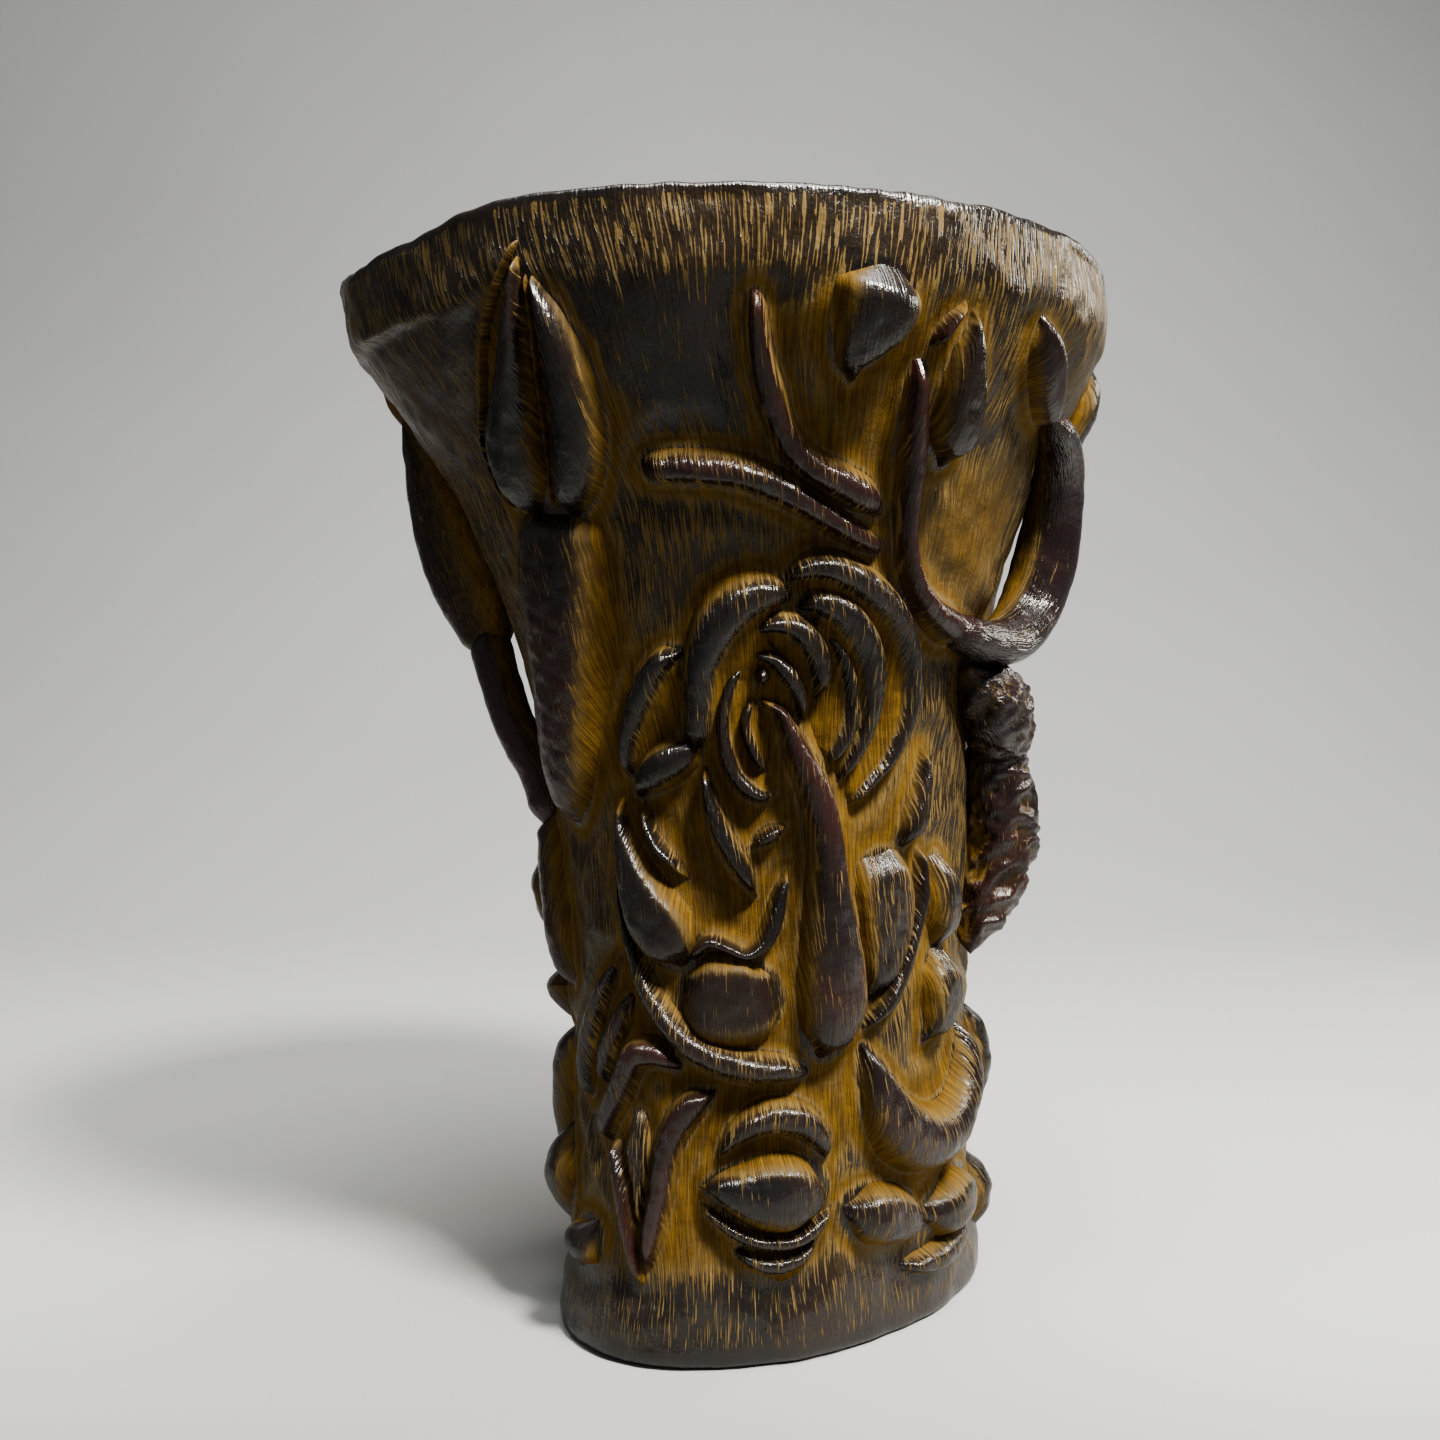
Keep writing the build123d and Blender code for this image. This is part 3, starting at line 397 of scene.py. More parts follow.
TONGUE = [
    (-0.4, 82.8, 0.4, 1.6), (2.6, 82, 0.7, 2.6), (4.4, 79.8, 1.1, 3.4), (6.2, 77.2, 1.5, 4),
    (8, 74.6, 1.8, 4.4), (10, 71.6, 2, 4.6), (11.6, 68, 2, 4.8), (12.3, 63.6, 2.1, 5),
    (12.4, 58.8, 2.5, 5.2), (12.7, 54, 3.2, 5.3), (13, 49, 3.7, 5.2), (12.8, 44, 3.7, 4.8),
    (11.6, 40.8, 2.8, 3.8), (10.4, 38.8, 1.4, 2.4),
]
RIGHT_BLADE = [
    (43, 76, 0.4, 1), (41.6, 73, 0.9, 2), (39.8, 70, 1.3, 2.6), (37.8, 67, 1.5, 2.8), (36, 64.8, 1.1, 2),
]
RIGHT_PETAL = [
    (28.5, 62.4, 3.6, 1.6), (29.4, 59, 4.2, 2.2), (29.8, 55.4, 4.2, 2.3), (29, 51.6, 3.6, 2.2),
    (27.4, 48.2, 2.6, 2.2), (26, 45.6, 1.4, 1.2),
]
BOWL_RIGHT = [
    (42.3, 62.8, 0.5, 1.4), (41.4, 58, 0.8, 2), (38.6, 54, 0.9, 2.3), (35.2, 50, 1, 2.4),
    (32, 46.6, 1.1, 2.4), (28, 43.6, 1, 2.2), (23.4, 41.4, 0.6, 1.4),
]
SEPAL_HIGH = [(50, 61.2, 1.6, 2), (51, 58, 2.3, 2.8), (51.2, 54, 2.4, 2.8), (51, 51, 1.7, 2)]
SEPAL_LOW = [
    (49.8, 49, 2.2, 2.2), (49.4, 46, 3.1, 3.4), (48.6, 42.6, 3, 3.4), (46.4, 39.8, 2.1, 2.6),
    (44, 38.2, 1, 1.4),
]

# Open blossom: curled petals from the outside to the core
PETAL_OUTER = [
    (6.4, 97.8, 0.6, 1.6), (9, 98.8, 1, 2.4), (13.5, 99.2, 1.3, 3), (18.5, 98.2, 1.4, 3.2),
    (24, 96.3, 1.5, 3.3), (29.3, 93.6, 1.4, 3.2), (33, 90, 1.3, 3), (35, 86.2, 1.2, 2.8),
    (35, 82.2, 1.1, 2.5), (33, 78.6, 1, 2.2), (30, 75.6, 0.8, 1.8), (25, 72.6, 0.6, 1.4),
    (20.6, 70.4, 0.4, 1),
]
PETAL_SECOND = [
    (8.6, 94.4, 0.6, 1.8), (11.5, 95, 1.2, 2.8), (16, 94.2, 1.5, 3.3), (20, 92, 1.6, 3.5),
    (23, 89, 1.5, 3.4), (24.3, 85.6, 1.4, 3.2), (24, 82, 1.2, 2.8), (22.5, 78.8, 1, 2.4),
    (20, 75.8, 0.8, 1.8), (17.4, 73.4, 0.5, 1.2),
]
PETAL_THIRD = [
    (13.6, 91, 0.4, 1.4), (16, 89.6, 0.6, 2), (18, 87, 0.8, 2.4), (19.2, 83.8, 0.8, 2.6),
    (19, 80.8, 0.9, 2.6), (17.2, 78, 0.9, 2.4), (15, 76.2, 0.7, 1.8), (13.4, 75.2, 0.4, 1.2),
]
PETAL_INNER = [
    (-1.6, 91.2, 0.5, 1.4), (1.5, 92.2, 0.8, 2.4), (6, 92.2, 1.1, 3), (9.2, 91, 1.2, 3.2),
    (11.3, 88.8, 1.2, 3.2), (12.3, 86, 1, 2.8), (12, 83.8, 0.6, 1.8),
]
PETAL_CROWN = [
    (5.6, 95.4, 0.8, 2), (2, 96, 1.5, 3.2), (-3, 95.2, 1.9, 4), (-7.5, 93, 2, 4.3), (-11, 90, 1.8, 4.2),
    (-13.5, 86.8, 1.5, 3.8), (-15, 83, 1.4, 3.4), (-15.8, 79.8, 1.3, 3), (-17, 77.8, 1.2, 2.6),
]
PETAL_TAIL = [
    (-17, 78, 1.2, 2.4), (-20.5, 76.4, 2, 3), (-24.6, 75.2, 2.3, 3.2), (-29, 73.6, 2, 2.8),
    (-33, 71.6, 1.1, 1.8),
]
PETAL_FAR = [
    (-18.4, 88.8, 0.8, 2), (-21, 88.2, 1.4, 2.9), (-24.6, 86.4, 1.7, 3.2), (-28, 83.8, 1.8, 3.2),
    (-31.5, 80.6, 1.6, 2.8), (-34.5, 77.4, 1.3, 2.4), (-36, 74.2, 1, 1.6),
]
FOLD_LOW = [
    (-15.4, 74.2, 0.4, 1.2), (-15.2, 72.4, 0.7, 2), (-14.4, 70, 1, 2.6), (-12.5, 66.8, 1.2, 3),
    (-10, 64, 1.2, 3), (-7.2, 61.4, 1, 2.6), (-5.2, 59.2, 0.5, 1.4),
]
FOLD_LEFT = [
    (-32.5, 69.8, 0.4, 1.2), (-32, 68, 0.6, 1.8), (-30.4, 66, 0.7, 2.2), (-27.5, 64, 0.8, 2.4),
    (-24.8, 62.6, 0.6, 2), (-22.8, 61.2, 0.4, 1.2),
]
SEED = [(-5, 65, 0.4, 1), (-2, 66, 1, 2), (1, 67, 0.8, 1.8), (2.8, 67.4, 0.3, 1)]
CORE_TOP = [
    (-2, 88.6, 0.4, 1.4), (2, 88.1, 0.7, 2.2), (5.2, 86.2, 0.9, 2.6), (7.3, 83.8, 0.8, 2.4),
    (8.3, 81, 0.5, 1.4),
]
CORE_SEED = [(0, 87.4, 0.3, 1.4), (-0.4, 86, 0.7, 2.2), (-1, 84.6, 0.3, 1.2)]
CORE_LEFT = [
    (-3.2, 82.8, 0.4, 1.2), (-4.4, 81.6, 0.5, 1.6), (-5, 79.8, 0.5, 1.8), (-4.2, 77.8, 0.6, 2),
    (-2.8, 75.8, 0.5, 1.8), (-1.2, 74.4, 0.4, 1.2),
]
CORE_RING = [
    (-4.6, 87, 0.4, 1.2), (-7.2, 85.4, 0.6, 1.8), (-9.2, 82.8, 0.7, 2.2), (-10.2, 79.4, 0.7, 2.2),
    (-9.6, 76.4, 0.8, 2.4), (-8, 73.9, 0.8, 2.4), (-5, 72, 0.8, 2.4), (-1.8, 71.2, 0.6, 1.8),
    (0, 71.4, 0.4, 1.2),
]
CORE_CLOSE = [(8.6, 76.6, 0.5, 1.2), (8.4, 73.2, 0.8, 2), (6, 70.8, 0.8, 2), (3.2, 69.8, 0.5, 1.2)]

# Hooked branch and rockwork above the foot on the right
HOOK_BRANCH = [
    (22.8, 38.2, 0.8, 2), (24.4, 35, 1.8, 3.6), (27.2, 31.2, 2.7, 4.6), (32, 27.6, 3.3, 5.2),
    (39, 25.4, 3.5, 5.4), (47, 25.4, 3.3, 5.3), (54.5, 27.4, 2.7, 5), (60, 31, 2.2, 4.6),
    (62, 35, 1.5, 3.6), (62.2, 38, 0.8, 2),
]
ROCK_LEFT = [
    (16.5, 18.2, 1.2, 1.8), (21, 17.4, 2.9, 3.4), (27.5, 16.4, 3.3, 3.8), (34, 15.2, 2.6, 3.2),
    (38.5, 14.6, 1.4, 2),
]
ROCK_RIGHT = [(43.5, 14.5, 2, 2.4), (50, 14.2, 3.3, 3.6), (58, 15, 3.3, 3.6), (65, 16, 1.8, 2.2)]
ROCK_LOW = [(36, 8.2, 1, 1.4), (44, 8, 1.7, 2.2), (54, 8.6, 1.7, 2.2), (62, 9.5, 1, 1.4)]
KNOB_HIGH = [(83, 38, 1.4, 1.8), (85.5, 34, 2.3, 3.4), (85.5, 29, 2.6, 3.8), (84, 24.5, 1.6, 2.2)]
KNOB_LOW = [(84, 16, 1.4, 1.8), (85, 11.5, 2.6, 3.4), (83, 6.5, 1.6, 2.2)]

# Twigs and buds below the rim
TWIG_THICK = [
    (-17, 110.3, 1.6, 2.6), (-9.5, 110.4, 1.8, 3.2), (-1.5, 109.8, 1.8, 3.6), (6, 107.8, 1.7, 3.4),
    (13, 105.2, 1.5, 3), (19.6, 102.9, 1.3, 2.6), (24.6, 101.4, 0.9, 1.6),
]
TWIG_THIN = [
    (2.6, 127.6, 0.9, 1.4), (2.6, 125.2, 1.1, 1.8), (2.8, 122, 1.3, 2.2), (4, 118, 1.5, 2.6),
    (5.6, 114.6, 1.5, 3), (8, 112, 1.6, 3.3), (11.6, 110.2, 1.7, 3.5), (16, 108.8, 1.8, 3.5),
    (20.6, 107.2, 1.7, 3.2), (23.4, 105.6, 1, 1.8),
]
TRIANGLE_BUD = [
    (16.2, 119.6, 0.6, 1.2), (15.6, 121.8, 2, 2.8), (16.6, 124.2, 3.7, 4), (18, 126.6, 4.9, 4.6),
    (19, 129, 5, 4), (19.6, 130.8, 3.2, 2.4),
]
ALMOND_BUD = [
    (34.2, 127.4, 0.4, 1.2), (34.1, 124.2, 1.8, 2.8), (34.2, 121, 2.8, 3.8), (34.7, 117.6, 3.3, 4.3),
    (35.2, 114.4, 2.8, 3.8), (35.6, 112, 1.4, 2.2),
]
ALMOND_SHEATH = [(32, 128.4, 0.3, 1.2), (30, 126.2, 0.6, 1.6), (28.6, 124.2, 0.6, 1.6)]
LOOP_STEM = [
    (26.8, 121.4, 0.9, 1.8), (27.2, 118.6, 1.3, 2.6), (28, 115, 1.5, 3), (28.8, 111, 1.5, 3),
    (29.2, 107, 1.4, 3), (30.2, 102.6, 1.3, 3), (32, 99, 1.3, 3.2), (35.4, 96, 1.5, 3.6),
    (41, 93.6, 1.9, 4), (48, 92, 2.2, 4),
]
LOOP_BRANCH = [
    (47, 92.2, 2.3, 3.4, 0.6), (58, 90.8, 2.8, 3.8, 1.4), (69, 91.2, 3, 4, 2.8), (78, 95.2, 3, 4.2, 4.2),
    (82, 102, 3, 4.4, 4.8), (82, 109, 2.9, 4, 3.8), (78, 114.4, 2.7, 3.4, 2.2),
    (71, 117.2, 2.2, 2.8, 1.2), (64, 118.6, 1.8, 2.4, 0.8),
]
LOOP_PAD = [
    (48.6, 128.4, 0.8, 1.2), (50.4, 126, 2, 2.4), (53.4, 123, 2.4, 3), (57.4, 120.4, 2.2, 3),
    (61.6, 118.8, 1.6, 2.2),
]
EDGE_BUD = [
    (92, 129, 1.4, 2), (93, 125, 2.8, 4.2), (94, 120.5, 3, 4.6), (94, 116, 2.6, 3.8), (93, 112.5, 1.4, 2),
]

# Gnarled branch down the right side
GNARL_HIGH = [
    (60.5, 86, 3, 3, 0.8), (66.5, 83.8, 4.6, 4.2, 2), (73, 81, 5.2, 4.8, 2.8), (78, 78, 4.6, 4.4, 2.8),
    (80.5, 75, 4, 4, 2.8),
]
GNARL_LOW = [
    (80.5, 76.6, 4, 4, 2.8), (82, 70.5, 4.8, 4.8, 3.4), (82.6, 63, 5, 5.2, 4), (80, 56, 4.2, 4.4, 2.6),
    (74.5, 49.5, 2.4, 2.8, 0.6),
]

# Front carving is mirrored to dress the back: each bearing is taken from one of these, and may drop
BACK_BUD_ABOUT = 82
BACK_BLOSSOM_ABOUT = 195
BACK_BUDS_ABOUT = 268
BACK_SPLIT_ABOUT = 76
BACK_LOW_BUD_ABOUT = 155
BACK_HOOK_ABOUT = 275
BACK_HOOK_DROP = 3
BACK_ROCK_ABOUT = 250
BACK_ROCK_DROP = 3

# Where the pegs go through their buds
TRIANGLE_PEG = (17.8, 126.2)
ALMOND_PEG = (34.5, 118.6)
PIT_RADIUS = 0.75
PIT_DEPTH = 0.35


def turned_over(routes, about, drop=0.0):
    """Front routes mirrored, with each bearing taken from a given one, and moved down."""
    return [[(about - bearing, height - drop, *rest) for bearing, height, *rest in route] for route in routes]


# Crests: how far a ridge falls from its middle to its edge as a share of its relief, how much it narrows
# at its ends, how much fuller than its route's half width it is drawn, and its share of the route's relief
ROD = (0.55, 0.45, 1.45, 0.88)
BLOOM = (0.5, 0.4, 1.8, 0.92)
PETAL = (0.4, 0.45, 1.32, 0.9)
PLATE = (0.12, 0.15, 1.16, 0.9)
BULB = (0.6, 0.45, 1.06, 0.95)
CABOCHON = (0.3, 0.4, 1.08, 1.02)

# The blossom's petals slope gently down towards its middle
BLOSSOM_MIDDLE = (3, 83)
BACK_BLOSSOM_MIDDLE = (BACK_BLOSSOM_ABOUT - BLOSSOM_MIDDLE[0], BLOSSOM_MIDDLE[1])
SHELLS = dict.fromkeys(
    ("petal_outer", "petal_crown", "petal_second", "petal_inner", "petal_third", "core_petals", "petal_far"),
    BLOSSOM_MIDDLE,
)
SHELLS |= dict.fromkeys(("back_blossom_outer", "back_blossom_inner"), BACK_BLOSSOM_MIDDLE)

# Places where the ground keeps more of its ochre: a bearing, a height and a radius
OCHRE_POOLS = [
    (17, 115, 8), (24, 123, 5), (50, 105, 9), (9, 124, 4), (-22, 116, 4), (-37.5, 90, 5), (-48, 75, 4),
    (-27, 78, 7), (-18, 67, 8), (-11, 58, 6), (28, 64, 7), (28, 50, 5), (-11, 32, 8), (12, 31, 6),
    (-27, 16, 6), (46, 31, 5),
]

# Each piece that lies on the wall: its routes, its crest and how many ochre strokes its crest keeps
RIDGES = {
    "left_bud_petals": ([BUD_LEFT, BUD_RIGHT, BUD_VEIN], BULB, 0.2),
    "left_bud_sheath": ([BUD_SHEATH], ROD, 0.5),
    "left_bud_stalk": ([BUD_STALK], PETAL, 0.45),
    "side_stem": ([SIDE_STEM], ROD, 0.3),
    "side_lobes": ([SIDE_LOBE_HIGH, SIDE_LOBE_LOW], PETAL, 0.3),
    "left_pods": ([POD_HIGH, POD_LOW, LEFT_KNOB], ROD, 0.3),
    "crescent_leaf": ([CRESCENT_EDGE, CRESCENT_BLADE], PETAL, 0.5),
    "split_leaf_head": ([SPLIT_HEAD], PETAL, 0.2),
    "split_leaf_rims": ([SPLIT_LEFT, SPLIT_RIGHT], PETAL, 0.2),
    "split_leaf_heart": ([SPLIT_HEART], PETAL, 0.8),
    "low_bud_husk": ([LOW_BUD_LID, LOW_BUD_CUP, LOW_BUD_UNDER], PETAL, 0.6),
    "low_bud_heart": ([LOW_BUD_HEART], PETAL, 0.3),
    "bowl_rim": ([BOWL_RIM], ROD, 0.6),
    "left_petal": ([LEFT_PETAL], PLATE, 0.15),
    "centre_petal": ([CENTRE_PETAL, CENTRE_HORN], PLATE, 0.25),
    "tongue_leaf": ([TONGUE], PETAL, 0.42),
    "bowl_right": ([BOWL_RIGHT], ROD, 0.4),
    "right_petal": ([RIGHT_PETAL], PLATE, 0.58),
    "right_blade": ([RIGHT_BLADE], PETAL, 0.4),
    "right_sepals": ([SEPAL_HIGH, SEPAL_LOW], PLATE, 0.68),
    "petal_outer": ([PETAL_OUTER], BLOOM, 0.52),
    "petal_crown": ([PETAL_CROWN], BLOOM, 0.42),
    "petal_second": ([PETAL_SECOND], BLOOM, 0.52),
    "petal_third": ([PETAL_THIRD], BLOOM, 0.55),
    "petal_inner": ([PETAL_INNER], BLOOM, 0.52),
    "petal_tail": ([PETAL_TAIL], PETAL, 0.25),
    "petal_far": ([PETAL_FAR], PETAL, 0.42),
    "petal_folds": ([FOLD_LOW, FOLD_LEFT, SEED], PETAL, 0.45),
    "core_petals": ([CORE_TOP, CORE_SEED, CORE_LEFT, CORE_RING], BLOOM, 0.5),
    "hook_branch": ([HOOK_BRANCH], ROD, 0.58),
    "rockwork": ([ROCK_LEFT, ROCK_RIGHT, ROCK_LOW], PETAL, 0.55),
    "right_knobs": ([KNOB_HIGH, KNOB_LOW], ROD, 0.4),
    "twig_thick": ([TWIG_THICK], ROD, 0.5),
    "twig_thin": ([TWIG_THIN], ROD, 0.42),
    "triangle_bud": ([TRIANGLE_BUD], CABOCHON, 0.05),
    "almond_bud": ([ALMOND_BUD], CABOCHON, 0.12),
    "loop_stem": ([LOOP_STEM, ALMOND_SHEATH], ROD, 0.25),
    "loop_pad": ([LOOP_PAD], PETAL, 0.25),
    "edge_bud": ([EDGE_BUD], ROD, 0.3),
    "back_bud_petals": (turned_over([BUD_LEFT, BUD_RIGHT, BUD_VEIN], BACK_BUD_ABOUT), BULB, 0.2),
    "back_bud_stalk": (turned_over([BUD_SHEATH, BUD_STALK], BACK_BUD_ABOUT), PETAL, 0.35),
    "back_blossom_outer": (
        turned_over([PETAL_OUTER, PETAL_CROWN, PETAL_TAIL, PETAL_FAR], BACK_BLOSSOM_ABOUT), BLOOM, 0.45,
    ),
    "back_blossom_inner": (
        turned_over(
            [PETAL_SECOND, PETAL_THIRD, PETAL_INNER, CORE_TOP, CORE_LEFT, CORE_RING, CORE_CLOSE],
            BACK_BLOSSOM_ABOUT,
        ), BLOOM, 0.5,
    ),
    "back_calyx": (
        turned_over([BOWL_RIM, LEFT_PETAL, CENTRE_PETAL, CENTRE_HORN], BACK_BLOSSOM_ABOUT), PETAL, 0.35,
    ),
    "back_twig": (turned_over([TWIG_THICK, TWIG_THIN], BACK_BLOSSOM_ABOUT), ROD, 0.4),
    "back_buds": (turned_over([TRIANGLE_BUD, ALMOND_BUD], BACK_BUDS_ABOUT), PETAL, 0.12),
    "back_split_leaf": (
        turned_over([SPLIT_HEAD, SPLIT_LEFT, SPLIT_RIGHT, SPLIT_HEART], BACK_SPLIT_ABOUT), PETAL, 0.3,
    ),
    "back_low_bud": (
        turned_over([LOW_BUD_LID, LOW_BUD_HEART, LOW_BUD_CUP, LOW_BUD_UNDER], BACK_LOW_BUD_ABOUT),
        PETAL, 0.45,
    ),
    "back_hook_branch": (turned_over([HOOK_BRANCH], BACK_HOOK_ABOUT, BACK_HOOK_DROP), ROD, 0.5),
    "back_rockwork": (
        turned_over([ROCK_LEFT, ROCK_RIGHT, ROCK_LOW], BACK_ROCK_ABOUT, BACK_ROCK_DROP), PETAL, 0.55,
    ),
}

# Each branch that stands clear of the wall: its route, how deep its chips are, and how far its side is dished
BRANCHES = {
    "side_leaf": (SIDE_LEAF, 0.12, 0.42),
    "side_branch": (SIDE_BRANCH, 0.12, 0.0),
    "loop_branch": (LOOP_BRANCH, 0.1, 0.0),
    "gnarl_high": (GNARL_HIGH, 1.0, 0.0),
    "gnarl_low": (GNARL_LOW, 1.0, 0.0),
}


def along_route(route, spacing):
    """Route as a smooth curve through its stations, run on a little past both ends: cubic spans whose
    slopes come from the neighbouring stations. Gives the distance along it, the rows, and a rise from 0
    at the ends to 1 inside them."""
    stations = np.array([tuple(station) + (0.0,) * (5 - len(station)) for station in route], float)
    first, last = stations[0], stations[-1]
    gaps = np.linalg.norm(np.diff(wall_point(stations[:, 0], stations[:, 1]), axis=0), axis=1)
    before = min(END_REACH_MOST, END_REACH_LEAST + END_REACH_PER_HALF_WIDTH * first[2])
    after = min(END_REACH_MOST, END_REACH_LEAST + END_REACH_PER_HALF_WIDTH * last[2])
    lead, trail = first.copy(), last.copy()
    lead[:2] -= (stations[1] - first)[:2] * before / gaps[0]
    trail[:2] += (last - stations[-2])[:2] * after / gaps[-1]
    stations = np.vstack([lead, stations, trail])
    span = np.concatenate([[before], gaps, [after]])
    knots = np.concatenate([[0], np.cumsum(span)])
    slopes = np.gradient(stations, knots, axis=0)
    length = knots[-1]
    place = np.linspace(0, length, max(LEAST_ROWS, int(length / spacing)))
    knot = np.clip(np.searchsorted(knots, place, side="right") - 1, 0, len(span) - 1)
    part = (place - knots[knot]) / span[knot]
    start, end = (1 + 2 * part) * (1 - part) ** 2, part * part * (3 - 2 * part)
    leave, arrive = part * (1 - part) ** 2 * span[knot], part * part * (part - 1) * span[knot]
    rows = start[:, None] * stations[knot] + end[:, None] * stations[knot + 1]
    rows += leave[:, None] * slopes[knot] + arrive[:, None] * slopes[knot + 1]
    share = np.minimum(place / (END_RISE * before), (length - place) / (END_RISE * after))
    return place, rows, np.sin(np.clip(share, 0, 1) * np.pi / 2)


def closed_faces(rows, columns, first):
    """Quads of a tube of rows by columns that closes on itself across, with a flat cap at each end."""
    row, column = np.meshgrid(np.arange(rows - 1), np.arange(columns), indexing="ij")
    beside = (column + 1) % columns
    here, ahead = row * columns, (row + 1) * columns
    quads = np.stack([here + column, ahead + column, ahead + beside, here + beside], axis=-1)
    caps = [np.arange(columns), (rows - 1) * columns + np.arange(columns)[::-1]]
    return (quads.reshape(-1, 4) + first).tolist() + [(cap + first).tolist() for cap in caps]


def wall_steps(along, up, step):
    """Degrees of bearing and millimetres of height that add up to a step in space: the step is a sum of the
    wall's two slopes, and the pair of equations is solved by its determinant."""
    along_square, up_square, shared = (along * along).sum(-1), (up * up).sum(-1), (along * up).sum(-1)
    step_along, step_up = (step * along).sum(-1), (step * up).sum(-1)
    determinant = along_square * up_square - shared**2
    bearing_steps = (step_along * up_square - step_up * shared) / determinant
    height_steps = (step_up * along_square - step_along * shared) / determinant
    return bearing_steps, height_steps


def ridge_surface(route, crest, strokes, seed, pits=(), middle_of=None):
    """Hill carried along the wall: (relief + pocket) x (1 - dome x w ** 2) / (1 + (|w| / c) ** n), where w is
    the place across in half widths, c the shoulder and n a power that is steeper on broad ridges, so that
    its foot runs out into the ground. Towards a blossom's middle the hill has a long, low slope. Its ends
    sink, and knife marks are lumps."""
    dome, narrowing, fuller, share_out = crest
    place, rows, rise = along_route(route, RIDGE_SPACING)
    bearing, height, half, relief, _ = rows.T
    half = fuller * half * (1 - narrowing * (1 - rise))
    middle = wall_point(bearing, height)
    along, up = wall_slopes(bearing, height)
    ahead = unit(np.gradient(middle, place, axis=0))
    sideways = unit(np.cross(np.cross(along, up), ahead))
    steep = np.clip(STEEP_BASE + STEEP_PER_HALF_WIDTH * half, STEEP_LEAST, STEEP_MOST)[:, None]
    shoulder = SHOULDER_SHARE ** (1 / steep)
    share = np.linspace(-1, 1, RIDGE_WIDTH_POINTS)
    inner = np.zeros((len(place), RIDGE_WIDTH_POINTS))
    if middle_of:
        lean = (sideways * unit(wall_point(*map(np.array, middle_of)) - middle)).sum(axis=-1)
        inner = np.clip(lean[:, None] * np.sign(share), 0, 1)
    foot = shoulder * FOOT_THINNESS ** (1 / steep)
    across = share * foot * (1 + SHELL_REACH * inner)
    step = sideways[:, None] * (half[:, None] * across)[..., None]
    bearing_steps, height_steps = wall_steps(along[:, None], up[:, None], step)
    bearings, heights = bearing[:, None] + bearing_steps, height[:, None] + height_steps
    base, normal = wall_point(bearings, heights), wall_normal(bearings, heights)
    aside = np.abs(across)
    hill = (1 - dome * np.minimum(aside, 1) ** 2) / (1 + (aside / shoulder) ** steep)
    slope = SHELL_HEIGHT * inner * (1 - ease(aside, SHELL_FROM, SHELL_TO * foot))
    body = np.maximum(hill, slope)
    full = share_out * relief[:, None] + POCKET_DEPTH
    out = full * body * rise[:, None] - POCKET_DEPTH
    out = out - EDGE_SINK * ease(np.abs(share), EDGE_SINK_FROM, 1) - END_SINK * (1 - rise[:, None])
    marks = 0
    for number, (depth, size) in enumerate((COARSE_MARKS, FINE_MARKS)):
        marks = marks + depth * lumps(base, size, seed + number)
    out = out + marks * body * np.minimum(1, full / FULL_MARKS_HEIGHT)
    for pit in pits:
        reach = np.linalg.norm(base - wall_point(*map(np.array, pit)), axis=-1)
        out = out - PIT_DEPTH * np.exp(-((reach / PIT_RADIUS) ** 4))
    points = base + normal * out[..., None]
    half = half[:, None]
    thin = ease(half, THIN_RIDGE, FULL_RIDGE)
    polish = 1 - ease(aside * half, POLISH_FROM * half, POLISH_TO * half + POLISH_PAST)
    polish = CREST_POLISH * polish * thin * (1 - SHELL_DULLING * (slope > hill))
    return points, polish, np.full(polish.shape, strokes), grain_place(bearings, heights)


def branch_surface(route, knife, dish, strokes, seed):
    """Oval carried along a route that is lifted off the wall: half width sideways, relief outwards, rounded
    ends, chips along the oval's own outward direction, and a hollow on one side of the route."""
    place, rows, rise = along_route(route, BRANCH_SPACING)
    bearing, height, half, relief, lift = rows.T
    rise = np.maximum(rise, BRANCH_END)[:, None]
    outward = wall_normal(bearing, height)
    middle = wall_point(bearing, height) + outward * lift[:, None]
    ahead = unit(np.gradient(middle, place, axis=0))
    sideways = unit(np.cross(outward, ahead))
    outward = np.cross(ahead, sideways)
    turn = np.linspace(-np.pi, np.pi, BRANCH_POINTS, endpoint=False)[::-1]
    hollow = np.exp(-((turn / DISH_TURN) ** 2))
    side = half[:, None] * rise * np.cos(turn) * (1 - dish * hollow)
    out = relief[:, None] * rise * np.sin(turn)
    reach = side[..., None] * sideways[:, None] + out[..., None] * outward[:, None]
    points = middle[:, None] + reach
    small = SMALL_CHIP_SHARE * chips(points, SMALL_CHIP_SIZE, seed + 1)
    marks = knife * (chips(points, CHIP_SIZE, seed) + small)
    points = points + unit(reach) * (marks * rise)[..., None]
    gleam = CHIP_GLEAM * (knife > DEEP_CUT) * np.sign(marks)
    polish = ease(np.broadcast_to(np.sin(turn), side.shape), *UNDERSIDE) + gleam - DISH_OCHRE * dish * hollow
    grain = np.stack(np.broadcast_arrays(side, out, place[:, None]), axis=-1)
    return points, np.clip(polish, 0, 1), np.full(polish.shape, strokes), grain


